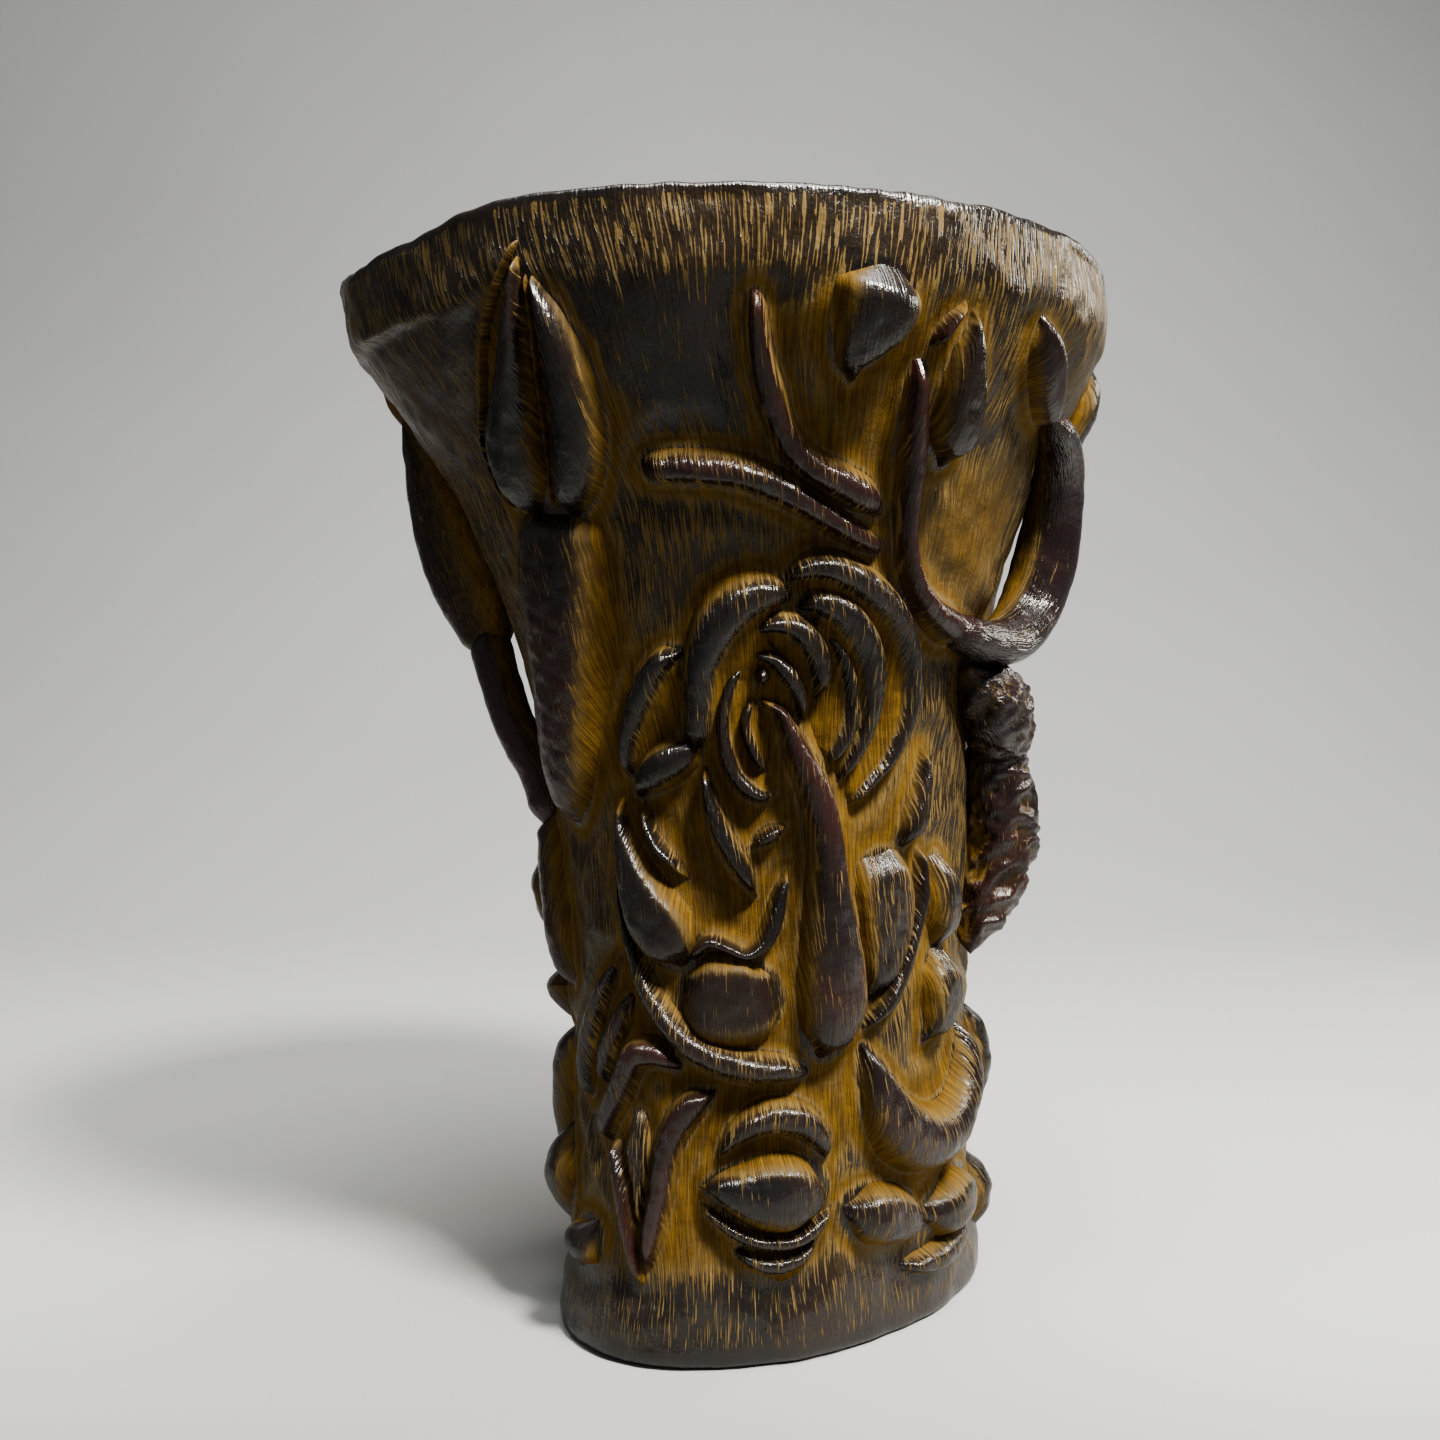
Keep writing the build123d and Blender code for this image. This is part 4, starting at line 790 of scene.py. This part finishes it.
def make_mesh(name, surfaces, faces):
    """Mesh object in metres from stacked surface arrays, with polish, strokes and grain on its points."""
    joined = []
    for arrays in zip(*surfaces):
        joined.append(np.concatenate([array.reshape(-1, *array.shape[2:]) for array in arrays]))
    points, polish, strokes, grain = joined
    mesh = bpy.data.meshes.new(name)
    mesh.from_pydata((points * METRES).tolist(), [], faces)
    mesh.polygons.foreach_set("use_smooth", np.ones(len(mesh.polygons), bool))
    for label, values in (("polish", polish), ("strokes", strokes)):
        layer = mesh.attributes.new(label, "FLOAT", "POINT")
        layer.data.foreach_set("value", values.astype(np.float32).ravel())
    layer = mesh.attributes.new("grain", "FLOAT_VECTOR", "POINT")
    layer.data.foreach_set("vector", grain.astype(np.float32).ravel())
    mesh.update()
    piece = bpy.data.objects.new(name, mesh)
    bpy.context.scene.collection.objects.link(piece)
    return piece


def settle(piece, solid, material):
    """A finished piece: it rides on the cup, stands for its solid and has its finish."""
    piece.data.materials.append(material)
    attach(piece, "root")
    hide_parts(solid)


def carving_places():
    """Points along the middle of every route, with how far the ridge reaches from there, how wide the
    ground swells round it, and how high."""
    routes = []
    for ridge_routes, (_, _, fuller, _), _ in RIDGES.values():
        routes += [(route, REACH_SHARE * fuller, SWELL_SHARE) for route in ridge_routes]
    routes += [(route, 1.0, 0.0) for route, _, _ in BRANCHES.values()]
    centres, reach, width, swell = [], [], [], []
    for route, fuller, share in routes:
        place, rows, rise = along_route(route, PLACE_SPACING)
        bearing, height, half, relief, lift = rows.T
        to_end = np.minimum(place, place[-1] - place)
        centres.append(wall_point(bearing, height))
        reach.append(np.minimum(fuller * half, to_end - END_MARGIN) - lift)
        width.append(SWELL_WIDTH * half + SWELL_MARGIN)
        swell.append(share * relief * rise)
    return [np.concatenate(part).astype(np.float32) for part in (centres, reach, width, swell)]


def ground_near(points):
    """Distance from each point to the nearest ridge's edge (the least of centre distance minus reach), and
    the swell of the ground there (the most of swell x exp(-(distance / width) ** 2))."""
    centres, reach, width, swell = carving_places()
    squares = (centres**2).sum(1)
    near, rise = [], []
    for block in np.array_split(points.reshape(-1, 3).astype(np.float32), GROUND_BLOCKS):
        gap = np.maximum((block**2).sum(1)[:, None] + squares - 2 * block @ centres.T, 0)
        near.append((np.sqrt(gap) - reach).min(axis=1))
        rise.append((swell * np.exp(-gap / width**2)).max(axis=1))
    return [np.concatenate(part).reshape(points.shape[:-1]) for part in (near, rise)]


def wall_section():
    """The wall's section as one ring of rows: a rounded foot edge, up the outside, over a half-round lip and
    down the inside. Gives each row's height, how far it is set in, and 1 outside or 0 inside."""
    rounding = FOOT_ROUND * (1 - np.cos(np.linspace(0, np.pi / 2, FOOT_ROWS)))[:-1]
    outside = np.concatenate([rounding, np.arange(FOOT_ROUND, CUP_HEIGHT - LIP_RISE, WALL_SPACING)])
    lip = np.linspace(0, np.pi, LIP_ROWS)
    inside = np.linspace(CUP_HEIGHT - LIP_RISE, 0, INSIDE_ROWS)[1:]
    under = np.sqrt(np.maximum(0, FOOT_ROUND**2 - np.maximum(0, FOOT_ROUND - outside) ** 2))
    height = np.concatenate([outside, CUP_HEIGHT - LIP_RISE + LIP_RISE * np.sin(lip), inside])
    inset = np.concatenate([FOOT_ROUND - under, RIM_WALL / 2 * (1 - np.cos(lip)), wall_thickness(inside)])
    shown = np.concatenate([np.ones(len(outside)), np.zeros(LIP_ROWS + len(inside))])
    return height, inset, shown


def wall_finish(base, near, rim, bearings, heights):
    """Polish and strokes of the wall's outside. Polish is the most of four: that of the ground, which grows
    with the distance from a ridge and drops in the pools of ochre, of the bands at rim and foot, of the
    foot's edge, and of the ground under a ridge. Each zone has fewer strokes than the ground by its share."""
    pools = np.zeros(near.shape)
    for bearing, height, radius in OCHRE_POOLS:
        reach = np.linalg.norm(base - wall_point(np.array(bearing), np.array(height)), axis=-1)
        pools = np.maximum(pools, np.exp(-((reach / radius) ** 4)))
    left_neck = ease(heights, *NECK_ZONE) * (1 - rim) * ease(bearings, *LEFT_ZONE)
    dark_neck = left_neck * ease(bearings, *DARK_NECK_ZONE)
    foot_edge = 1 - ease(heights, *FOOT_EDGE_ZONE)
    # The foot band is darker, bare horn with fewer strokes: partly its real finish and partly painted shade
    foot_band = 1 - ease(heights, *FOOT_BAND_ZONE)
    ground = GROUND_POLISH + DARK_NECK_POLISH * dark_neck
    ground = ground * ease(near, OCHRE_FROM, OCHRE_TO - OCHRE_LESS_ON_NECK * left_neck)
    ground = ground * (1 - POOL_OCHRE * pools)
    band = np.maximum(RIM_POLISH * rim, FOOT_BAND_POLISH_AND_SHADE * foot_band)
    under = 1 - ease(near, *UNDER_RIDGE)
    polish = np.maximum(np.maximum(ground, band), np.maximum(foot_edge, under))
    strokes = GROUND_STROKES - RIM_FEWER * rim - FOOT_BAND_FEWER_STROKES_AND_SHADE * foot_band
    strokes = strokes - LEFT_NECK_FEWER * left_neck - FOOT_EDGE_FEWER * foot_edge
    return polish, strokes


def wall_surface():
    """Wall's section carried round the bearing. Its outside swells round each ridge, is cut down in pockets
    beside them and is uneven by slow lumps, and the rim dips by its bearing."""
    height, inset, shown = wall_section()
    shown = shown[:, None]
    bearing = np.linspace(-180, 180, WALL_COLUMNS, endpoint=False)
    bearings, heights = np.meshgrid(bearing, height)
    base = wall_point(bearings, heights, inset[:, None])
    normal = wall_normal(bearings, np.clip(heights, 2 * SLOPE_STEP, CUP_HEIGHT - 2 * SLOPE_STEP))
    near, swell = ground_near(base)
    rim = ease(heights, *RIM_ZONE)
    fade = ease(heights, *CARVED_ZONE) * (1 - rim)
    pocket = (1 - ease(near, POCKET_FROM, POCKET_WIDTH)) * fade
    uneven = sum(depth * lumps(base, size, seed) for depth, size, seed in WALL_LUMPS)
    depth, size, seed = RIM_LUMPS
    uneven = uneven + depth * rim * lumps(base * RIM_LUMPS_DRAWN, size, seed)
    out = (swell * (1 - rim) - POCKET_DEPTH * pocket + uneven) * shown
    points = base + normal * out[..., None]
    edge = wall_point(bearing, CUP_HEIGHT)
    dip = np.interp(bearing, RIM_DIP_BEARINGS, RIM_DIPS)
    for depth, size, seed in EDGE_LUMPS:
        dip = dip + depth * lumps(edge, size, seed)
    points[..., 2] -= rim * dip
    polish, strokes = wall_finish(base, near, rim, bearings, heights)
    polish = np.where(shown > 0, polish, INSIDE_POLISH)
    strokes = np.where(shown > 0, strokes, INSIDE_STROKES)
    return points, polish, strokes, grain_place(bearings, heights)


def wall_faces(rows, columns):
    """Quads of a grid that closes both round the bearing and from its last row to its first."""
    row, column = np.meshgrid(np.arange(rows), np.arange(columns), indexing="ij")
    beside = (column + 1) % columns
    here, ahead = row * columns, (row + 1) % rows * columns
    quads = np.stack([here + column, here + beside, ahead + beside, ahead + column], axis=-1)
    return quads.reshape(-1, 4).tolist()


# Materials: the colours of ochre, strokes and film, and the tint of the gloss
OCHRE_DEEP = (0.070, 0.037, 0.007, 1)
OCHRE_PALE = (0.180, 0.103, 0.020, 1)
STROKE_GOLD = (0.19, 0.127, 0.046, 1)
BROWN_FILM = (0.050, 0.029, 0.009, 1)
HORN_TINT = (1.0, 0.98, 0.92, 1)

# Noise along the grain: the width and length of its cells in millimetres, and its detail
DASHES = (0.21, 4.0, 1.5)
HAIRS = (0.16, 9.0, 1.5)
BROAD_STREAKS = (1.4, 20.0, 2.0)

# Even noise: its cells to the metre, and its detail
MOTTLE = (260.0, 4.0)
CLOUDS = (45.0, 2.0)
GRIT = (1300.0, 3.0)

# Weights in the sums that place hollows, strokes, coat and tones
MOTTLE_IN_HOLLOWS = 0.42
GRIT_IN_HOLLOWS = 0.4
HOLLOWS_IN_STROKES = 0.28
CHOSEN_STROKES = 0.26
HAIRS_IN_COAT = 0.3
MOTTLE_IN_TONE = 1.1
CLOUDS_IN_TONE = 0.6
DASHES_IN_TONE = 0.9

# Smooth steps that make strokes, coats and tones of these sums
STROKE_STEP = (0.63, 0.68)
COAT_STEP = (0.3, 0.95)
WORN_STEP = (0.36, 0.5)
FILM_STEP = (0.05, 0.7)
CLOUD_STEP = (0.4, 0.65)
TONE_STEP = (0.15, 0.9)
POOL_STEP = (0.4, 0.9)

# How much the coat covers where it is worn, and how much strokes, film and ochre cover
WORN_COVER = 0.55
STROKE_COVER = 0.85
FILM_COVER = 0.85
OCHRE_COVER = 0.92

# Roughness and gloss of bare horn, and how ochre, film and hairs change them
BARE_ROUGHNESS = 0.15
OCHRE_ROUGHER = 0.4
FILM_ROUGHER = 0.16
HAIRS_ROUGHER = 0.12
HORN_IOR = 1.54
BARE_GLOSS = 0.48
OCHRE_DULLER = 0.4
FILM_DULLER = 0.45

# Fine relief: the weights of ochre, hairs and grit in it, where the other noises have 1, its strength and its
# height in metres
OCHRE_RELIEF = -0.7
HAIR_RELIEF = 0.4
GRIT_RELIEF = 0.7
RELIEF_STRENGTH = 0.8
RELIEF_HEIGHT = 0.0002


def feed(tree, socket, value):
    """Link an input to a socket, or set it to a plain value."""
    if isinstance(value, bpy.types.NodeSocket):
        tree.links.new(value, socket)
    else:
        socket.default_value = value


def node(tree, kind, settings=None, **inputs):
    """Add a shader node, set its settings, and set or link its inputs by name."""
    made = tree.nodes.new(kind)
    for label, value in (settings or {}).items():
        setattr(made, label, value)
    for label, value in inputs.items():
        feed(tree, made.inputs[label.replace("_", " ")], value)
    return made


def calc(tree, operation, first, second):
    """One sum on values or sockets."""
    made = node(tree, "ShaderNodeMath", {"operation": operation})
    feed(tree, made.inputs[0], first)
    feed(tree, made.inputs[1], second)
    return made.outputs[0]


def added(tree, *values):
    """The sum of several values or sockets."""
    total = values[0]
    for value in values[1:]:
        total = calc(tree, "ADD", total, value)
    return total


def scaled(tree, value, share):
    """A value or socket times another."""
    return calc(tree, "MULTIPLY", value, share)


def step_between(tree, value, low, high):
    """Smooth step of a socket's value from 0 at low to 1 at high."""
    limits = {"From_Min": low, "From_Max": high}
    made = node(tree, "ShaderNodeMapRange", {"interpolation_type": "SMOOTHSTEP"}, Value=value, **limits)
    return made.outputs["Result"]


def swing(tree, value, size):
    """A noise value moved to swing about zero by a size."""
    return scaled(tree, calc(tree, "SUBTRACT", value, 0.5), size)


def blend(tree, factor, first, second):
    """Colour between two colours or sockets."""
    made = node(tree, "ShaderNodeMix", {"data_type": "RGBA"})
    for number, value in ((0, factor), (6, first), (7, second)):
        feed(tree, made.inputs[number], value)
    return made.outputs[2]


def attribute(tree, name, output):
    """A point attribute of the piece."""
    return node(tree, "ShaderNodeAttribute", {"attribute_name": name}).outputs[output]


def streaks(tree, grain, width, length, detail):
    """Noise drawn out along the horn's grain: cells of one width round the wall and one length up it."""
    scale = (1 / width, 1 / width, 1 / length)
    laid = node(tree, "ShaderNodeMapping", Vector=grain, Scale=scale)
    made = node(tree, "ShaderNodeTexNoise", Vector=laid.outputs[0], Scale=1.0, Detail=detail, Roughness=0.55)
    return made.outputs["Fac"]


def patches(tree, scale, detail):
    """Even noise on the piece's own coordinates."""
    place = node(tree, "ShaderNodeTexCoord").outputs["Object"]
    made = node(tree, "ShaderNodeTexNoise", Vector=place, Scale=scale, Detail=detail, Roughness=0.6)
    return made.outputs["Fac"]


def new_material(name):
    """A new material, its node tree and its main shader."""
    material = bpy.data.materials.new(name)
    material.use_nodes = True
    return material, material.node_tree, material.node_tree.nodes["Principled BSDF"]


def horn(name, dark, warm):
    """Polished dark horn with ochre left in its hollows and in strokes along the grain, and a brown film
    between. Hollow is 0 on bare polished horn and 1 under a full coat of ochre."""
    material, tree, shader = new_material(name)
    polish = attribute(tree, "polish", "Fac")
    strokes = attribute(tree, "strokes", "Fac")
    grain = attribute(tree, "grain", "Vector")
    dash, hair, broad = [streaks(tree, grain, *cells) for cells in (DASHES, HAIRS, BROAD_STREAKS)]
    mottle, cloud, grit = [patches(tree, *cells) for cells in (MOTTLE, CLOUDS, GRIT)]

    # Where ochre, strokes and film lie
    hollow = calc(tree, "SUBTRACT", 1.0, polish)
    hollow = added(tree, hollow, swing(tree, mottle, MOTTLE_IN_HOLLOWS), swing(tree, grit, GRIT_IN_HOLLOWS))
    level = added(tree, dash, scaled(tree, hollow, HOLLOWS_IN_STROKES), swing(tree, strokes, CHOSEN_STROKES))
    stroke = scaled(tree, step_between(tree, level, *STROKE_STEP), STROKE_COVER)
    coat = step_between(tree, added(tree, hollow, swing(tree, hair, HAIRS_IN_COAT)), *COAT_STEP)
    unworn = step_between(tree, dash, *WORN_STEP)
    coat = scaled(tree, coat, added(tree, WORN_COVER, scaled(tree, unworn, 1 - WORN_COVER)))
    ochre = calc(tree, "MAXIMUM", coat, stroke)
    film = step_between(tree, hollow, *FILM_STEP)

    # Colour
    tone = added(tree, swing(tree, mottle, MOTTLE_IN_TONE), swing(tree, cloud, CLOUDS_IN_TONE))
    tone = added(tree, tone, swing(tree, dash, DASHES_IN_TONE), hair)
    horn_colour = blend(tree, step_between(tree, cloud, *CLOUD_STEP), dark, warm)
    stained = blend(tree, scaled(tree, film, FILM_COVER), horn_colour, BROWN_FILM)
    pool_colour = blend(tree, step_between(tree, tone, *TONE_STEP), OCHRE_DEEP, OCHRE_PALE)
    ochre_colour = blend(tree, step_between(tree, hollow, *POOL_STEP), STROKE_GOLD, pool_colour)
    colour = blend(tree, scaled(tree, ochre, OCHRE_COVER), stained, ochre_colour)
    feed(tree, shader.inputs["Base Color"], colour)

    # Gloss
    rough = added(tree, BARE_ROUGHNESS, scaled(tree, ochre, OCHRE_ROUGHER), scaled(tree, film, FILM_ROUGHER))
    feed(tree, shader.inputs["Roughness"], added(tree, rough, scaled(tree, hair, HAIRS_ROUGHER)))
    under_film = calc(tree, "SUBTRACT", 1.0, scaled(tree, film, FILM_DULLER))
    gloss = calc(tree, "SUBTRACT", BARE_GLOSS, scaled(tree, ochre, OCHRE_DULLER))
    feed(tree, shader.inputs["Specular IOR Level"], scaled(tree, under_film, gloss))
    feed(tree, shader.inputs["Specular Tint"], HORN_TINT)
    feed(tree, shader.inputs["IOR"], HORN_IOR)

    # Fine relief
    relief = added(tree, scaled(tree, ochre, OCHRE_RELIEF), dash, scaled(tree, hair, HAIR_RELIEF), broad)
    relief = added(tree, relief, mottle, scaled(tree, grit, GRIT_RELIEF))
    bump = node(tree, "ShaderNodeBump", Height=relief, Strength=RELIEF_STRENGTH, Distance=RELIEF_HEIGHT)
    feed(tree, shader.inputs["Normal"], bump.outputs[0])
    return material


BLACK_HORN = horn("black horn", (0.0075, 0.0065, 0.0065, 1), (0.016, 0.010, 0.008, 1))
RED_HORN = horn("reddish horn", (0.011, 0.0065, 0.0065, 1), (0.028, 0.0105, 0.009, 1))
WALL_HORN = horn("wall horn", (0.008, 0.0065, 0.006, 1), (0.017, 0.011, 0.008, 1))

slots = {part["node"]: part["material_slot"] for part in frame["record"]["subparts"]}
finishes = {"carving_horn": BLACK_HORN, "branch_horn": RED_HORN}

wall_arrays = wall_surface()
wall = make_mesh("carved_wall", [wall_arrays], wall_faces(*wall_arrays[0].shape[:2]))
settle(wall, "horn_wall", WALL_HORN)

pits = {"triangle_bud": [TRIANGLE_PEG], "almond_bud": [ALMOND_PEG]}
for count, (name, (routes, crest, strokes)) in enumerate(RIDGES.items()):
    surfaces = []
    faces = []
    first = 0
    for number, route in enumerate(routes):
        seed = 100 * count + 10 * number
        surface = ridge_surface(route, crest, strokes, seed, pits.get(name, ()), SHELLS.get(name))
        rows, columns = surface[1].shape
        faces += closed_faces(rows, columns, first)
        first += rows * columns
        surfaces.append(surface)
    settle(make_mesh("carved_" + name, surfaces, faces), name, finishes[slots[name]])

for count, (name, (route, knife, dish)) in enumerate(BRANCHES.items()):
    surface = branch_surface(route, knife, dish, BRANCH_STROKES, BRANCH_SEED + 10 * count)
    faces = closed_faces(*surface[1].shape, 0)
    settle(make_mesh("carved_" + name, [surface], faces), name, finishes[slots[name]])


# Finish of the pieces that keep their solids: noise as above, and the strength of its scrape marks
PLAIN_CLOUDS = (160.0, 4.0)
PLAIN_CLOUD_STEP = (0.35, 0.65)
SCRAPES = (900.0, 2.0)
SCRAPE_STRENGTH = 0.4


def plain_horn(name, dark, warm, roughness):
    """Scraped horn on the piece's own coordinates: clouds of two browns and fine scrape marks."""
    material, tree, shader = new_material(name)
    cloud = step_between(tree, patches(tree, *PLAIN_CLOUDS), *PLAIN_CLOUD_STEP)
    feed(tree, shader.inputs["Base Color"], blend(tree, cloud, dark, warm))
    feed(tree, shader.inputs["Roughness"], roughness)
    scrapes = patches(tree, *SCRAPES)
    bump = node(tree, "ShaderNodeBump", Height=scrapes, Strength=SCRAPE_STRENGTH, Distance=RELIEF_HEIGHT)
    feed(tree, shader.inputs["Normal"], bump.outputs[0])
    return material


PLAIN_FINISHES = {
    "foot_plug": plain_horn("plug horn", (0.02, 0.012, 0.008, 1), (0.06, 0.03, 0.014, 1), 0.45),
    "plug_seal": plain_horn("seal wax", (0.05, 0.03, 0.012, 1), (0.14, 0.085, 0.03, 1), 0.6),
    "bud_pegs": plain_horn("peg horn", (0.012, 0.009, 0.008, 1), (0.04, 0.022, 0.012, 1), 0.4),
}
for name, finish in PLAIN_FINISHES.items():
    frame["nodes"][name].data.materials.clear()
    frame["nodes"][name].data.materials.append(finish)


# Stage, in metres
FLOOR_FRONT = -1.2
FLOOR_BACK = 0.25
FLOOR_BEND = 0.35
BACKDROP_FROM = 0.40
BACKDROP_TOP = 1.8
BACKDROP_HALF_WIDTH = 1.6
FLOOR_ROWS = 30
BEND_ROWS = 24
BACKDROP_ROWS = 12
BACKDROP_COLUMNS = 17

# Paper: its tones and noise, and a faint smudge on the floor
PAPER_DARK = (0.355, 0.355, 0.344, 1)
PAPER_PALE = (0.405, 0.405, 0.397, 1)
PAPER_CELLS = (5.0, 3.0)
PAPER_ROUGHNESS = 0.75
SMUDGE = (0.42, 0.39, 0.33, 1)
SMUDGE_MIDDLE = (-0.085, 0.03, 0)
SMUDGE_EDGE = (0.02, 0.13)
SMUDGE_CELLS = (55.0, 6.0)
SMUDGE_STEP = (0.44, 0.64)
SMUDGE_COVER = 0.45

# Painted shade: in front of the cup and far to its left the paper is dark, so that the horn has something
# dark to reflect
PAPER_SHADED = (0.12, 0.12, 0.12, 1)
SHADED_FRONT = (-0.11, 0.0)
SHADED_LEFT = (-0.19, -0.125)
SHADED_SLANT = 0.5

# Lights, which aim at the cup's middle: the place, width, watts, spread in degrees and colour of each
LIGHT_AIM_SHARE = 0.55
CUP_MIDDLE = (0, 0, CUP_HEIGHT * METRES * LIGHT_AIM_SHARE)
LIGHTS = {
    "overhead": ((0.05, -0.08, 0.72), 0.42, 5.4, 160, (1.0, 1.0, 1.0)),
    "front_right": ((0.22, -0.27, 0.54), 0.11, 5.8, 140, (1.0, 0.98, 0.94)),
    "key_right": ((0.44, 0.16, 0.27), 0.12, 0.26, 90, (1.0, 0.95, 0.85)),
}
ROOM_COLOUR = (0.62, 0.64, 0.66, 1)
ROOM_STRENGTH = 0.40


def pale_paper():
    """Matt paper: two tones of grey by noise, a smudge that fades with the distance from its middle, and
    painted
    shade: a dark tone outside the lit part of the floor."""
    material, tree, shader = new_material("pale paper")
    place = node(tree, "ShaderNodeTexCoord").outputs["Object"]
    distance = node(tree, "ShaderNodeVectorMath", {"operation": "DISTANCE"})
    feed(tree, distance.inputs[0], place)
    feed(tree, distance.inputs[1], SMUDGE_MIDDLE)
    close = calc(tree, "SUBTRACT", 1.0, step_between(tree, distance.outputs["Value"], *SMUDGE_EDGE))
    smudge = scaled(tree, close, step_between(tree, patches(tree, *SMUDGE_CELLS), *SMUDGE_STEP))
    tone = blend(tree, patches(tree, *PAPER_CELLS), PAPER_DARK, PAPER_PALE)
    tone = blend(tree, scaled(tree, smudge, SMUDGE_COVER), tone, SMUDGE)
    parts = node(tree, "ShaderNodeSeparateXYZ", Vector=place).outputs
    slanted = added(tree, parts["X"], scaled(tree, parts["Y"], SHADED_SLANT))
    lit_front = step_between(tree, parts["Y"], *SHADED_FRONT)
    lit_left = step_between(tree, slanted, *SHADED_LEFT)
    # Painted shade: the paper turns dark in front of the cup and far to its left
    tone = blend(tree, calc(tree, "MINIMUM", lit_front, lit_left), PAPER_SHADED, tone)
    feed(tree, shader.inputs["Base Color"], tone)
    feed(tree, shader.inputs["Roughness"], PAPER_ROUGHNESS)
    return material


def backdrop():
    """Pale floor that turns up behind in a quarter circle: a profile along Y carried across X."""
    turn = np.linspace(0, np.pi / 2, BEND_ROWS)[1:]
    floor_y = np.linspace(FLOOR_FRONT, FLOOR_BACK, FLOOR_ROWS)
    bend_y = FLOOR_BACK + FLOOR_BEND * np.sin(turn)
    bend_z = FLOOR_BEND * (1 - np.cos(turn))
    back_z = np.linspace(BACKDROP_FROM, BACKDROP_TOP, BACKDROP_ROWS)
    y = np.concatenate([floor_y, bend_y, np.full(BACKDROP_ROWS, FLOOR_BACK + FLOOR_BEND)])
    z = np.concatenate([np.zeros(FLOOR_ROWS), bend_z, back_z])
    x = np.linspace(-BACKDROP_HALF_WIDTH, BACKDROP_HALF_WIDTH, BACKDROP_COLUMNS)
    points = np.stack([np.repeat(x, len(y)), np.tile(y, len(x)), np.tile(z, len(x))], axis=-1)
    column, row = np.meshgrid(np.arange(len(x) - 1), np.arange(len(y) - 1), indexing="ij")
    here, beside = column * len(y) + row, (column + 1) * len(y) + row
    quads = np.stack([here, beside, beside + 1, here + 1], axis=-1).reshape(-1, 4)
    mesh = bpy.data.meshes.new("backdrop")
    mesh.from_pydata(points.tolist(), [], quads.tolist())
    mesh.polygons.foreach_set("use_smooth", np.ones(len(mesh.polygons), bool))
    mesh.materials.append(pale_paper())
    piece = bpy.data.objects.new("backdrop", mesh)
    bpy.context.scene.collection.objects.link(piece)


def soft_light(name, place, aim, size, power, spread, colour):
    """Square area light at a place, turned to face a point."""
    lamp = bpy.data.lights.new(name, "AREA")
    lamp.size = size
    lamp.energy = power
    lamp.spread = radians(spread)
    lamp.color = colour
    light = bpy.data.objects.new(name, lamp)
    light.location = place
    light.rotation_euler = (Vector(aim) - Vector(place)).to_track_quat("-Z", "Y").to_euler()
    bpy.context.scene.collection.objects.link(light)


backdrop()
for name, (place, size, power, spread, colour) in LIGHTS.items():
    soft_light(name, place, CUP_MIDDLE, size, power, spread, colour)

world = bpy.data.worlds.new("studio")
world.use_nodes = True
room = world.node_tree.nodes["Background"]
room.inputs["Color"].default_value = ROOM_COLOUR
room.inputs["Strength"].default_value = ROOM_STRENGTH
bpy.context.scene.world = world
bpy.context.scene.view_settings.look = "AgX - Medium High Contrast"

# Camera, as fitted to the photograph
CAMERA_PLACE = (-0.0082, -0.2008, 0.0863)
CAMERA_TILT = -1.87
IMAGE_PIXELS = 1440
FOCAL_PIXELS = 1430
SENSOR_WIDTH = 36
CLIP_START = 0.01
lens = bpy.data.cameras.new("camera")
lens.sensor_width = SENSOR_WIDTH
lens.lens = lens.sensor_width * FOCAL_PIXELS / IMAGE_PIXELS
lens.clip_start = CLIP_START
camera = bpy.data.objects.new("camera", lens)
camera.location = CAMERA_PLACE
camera.rotation_euler = (radians(90 + CAMERA_TILT), 0, 0)
bpy.context.scene.collection.objects.link(camera)
bpy.context.scene.camera = camera
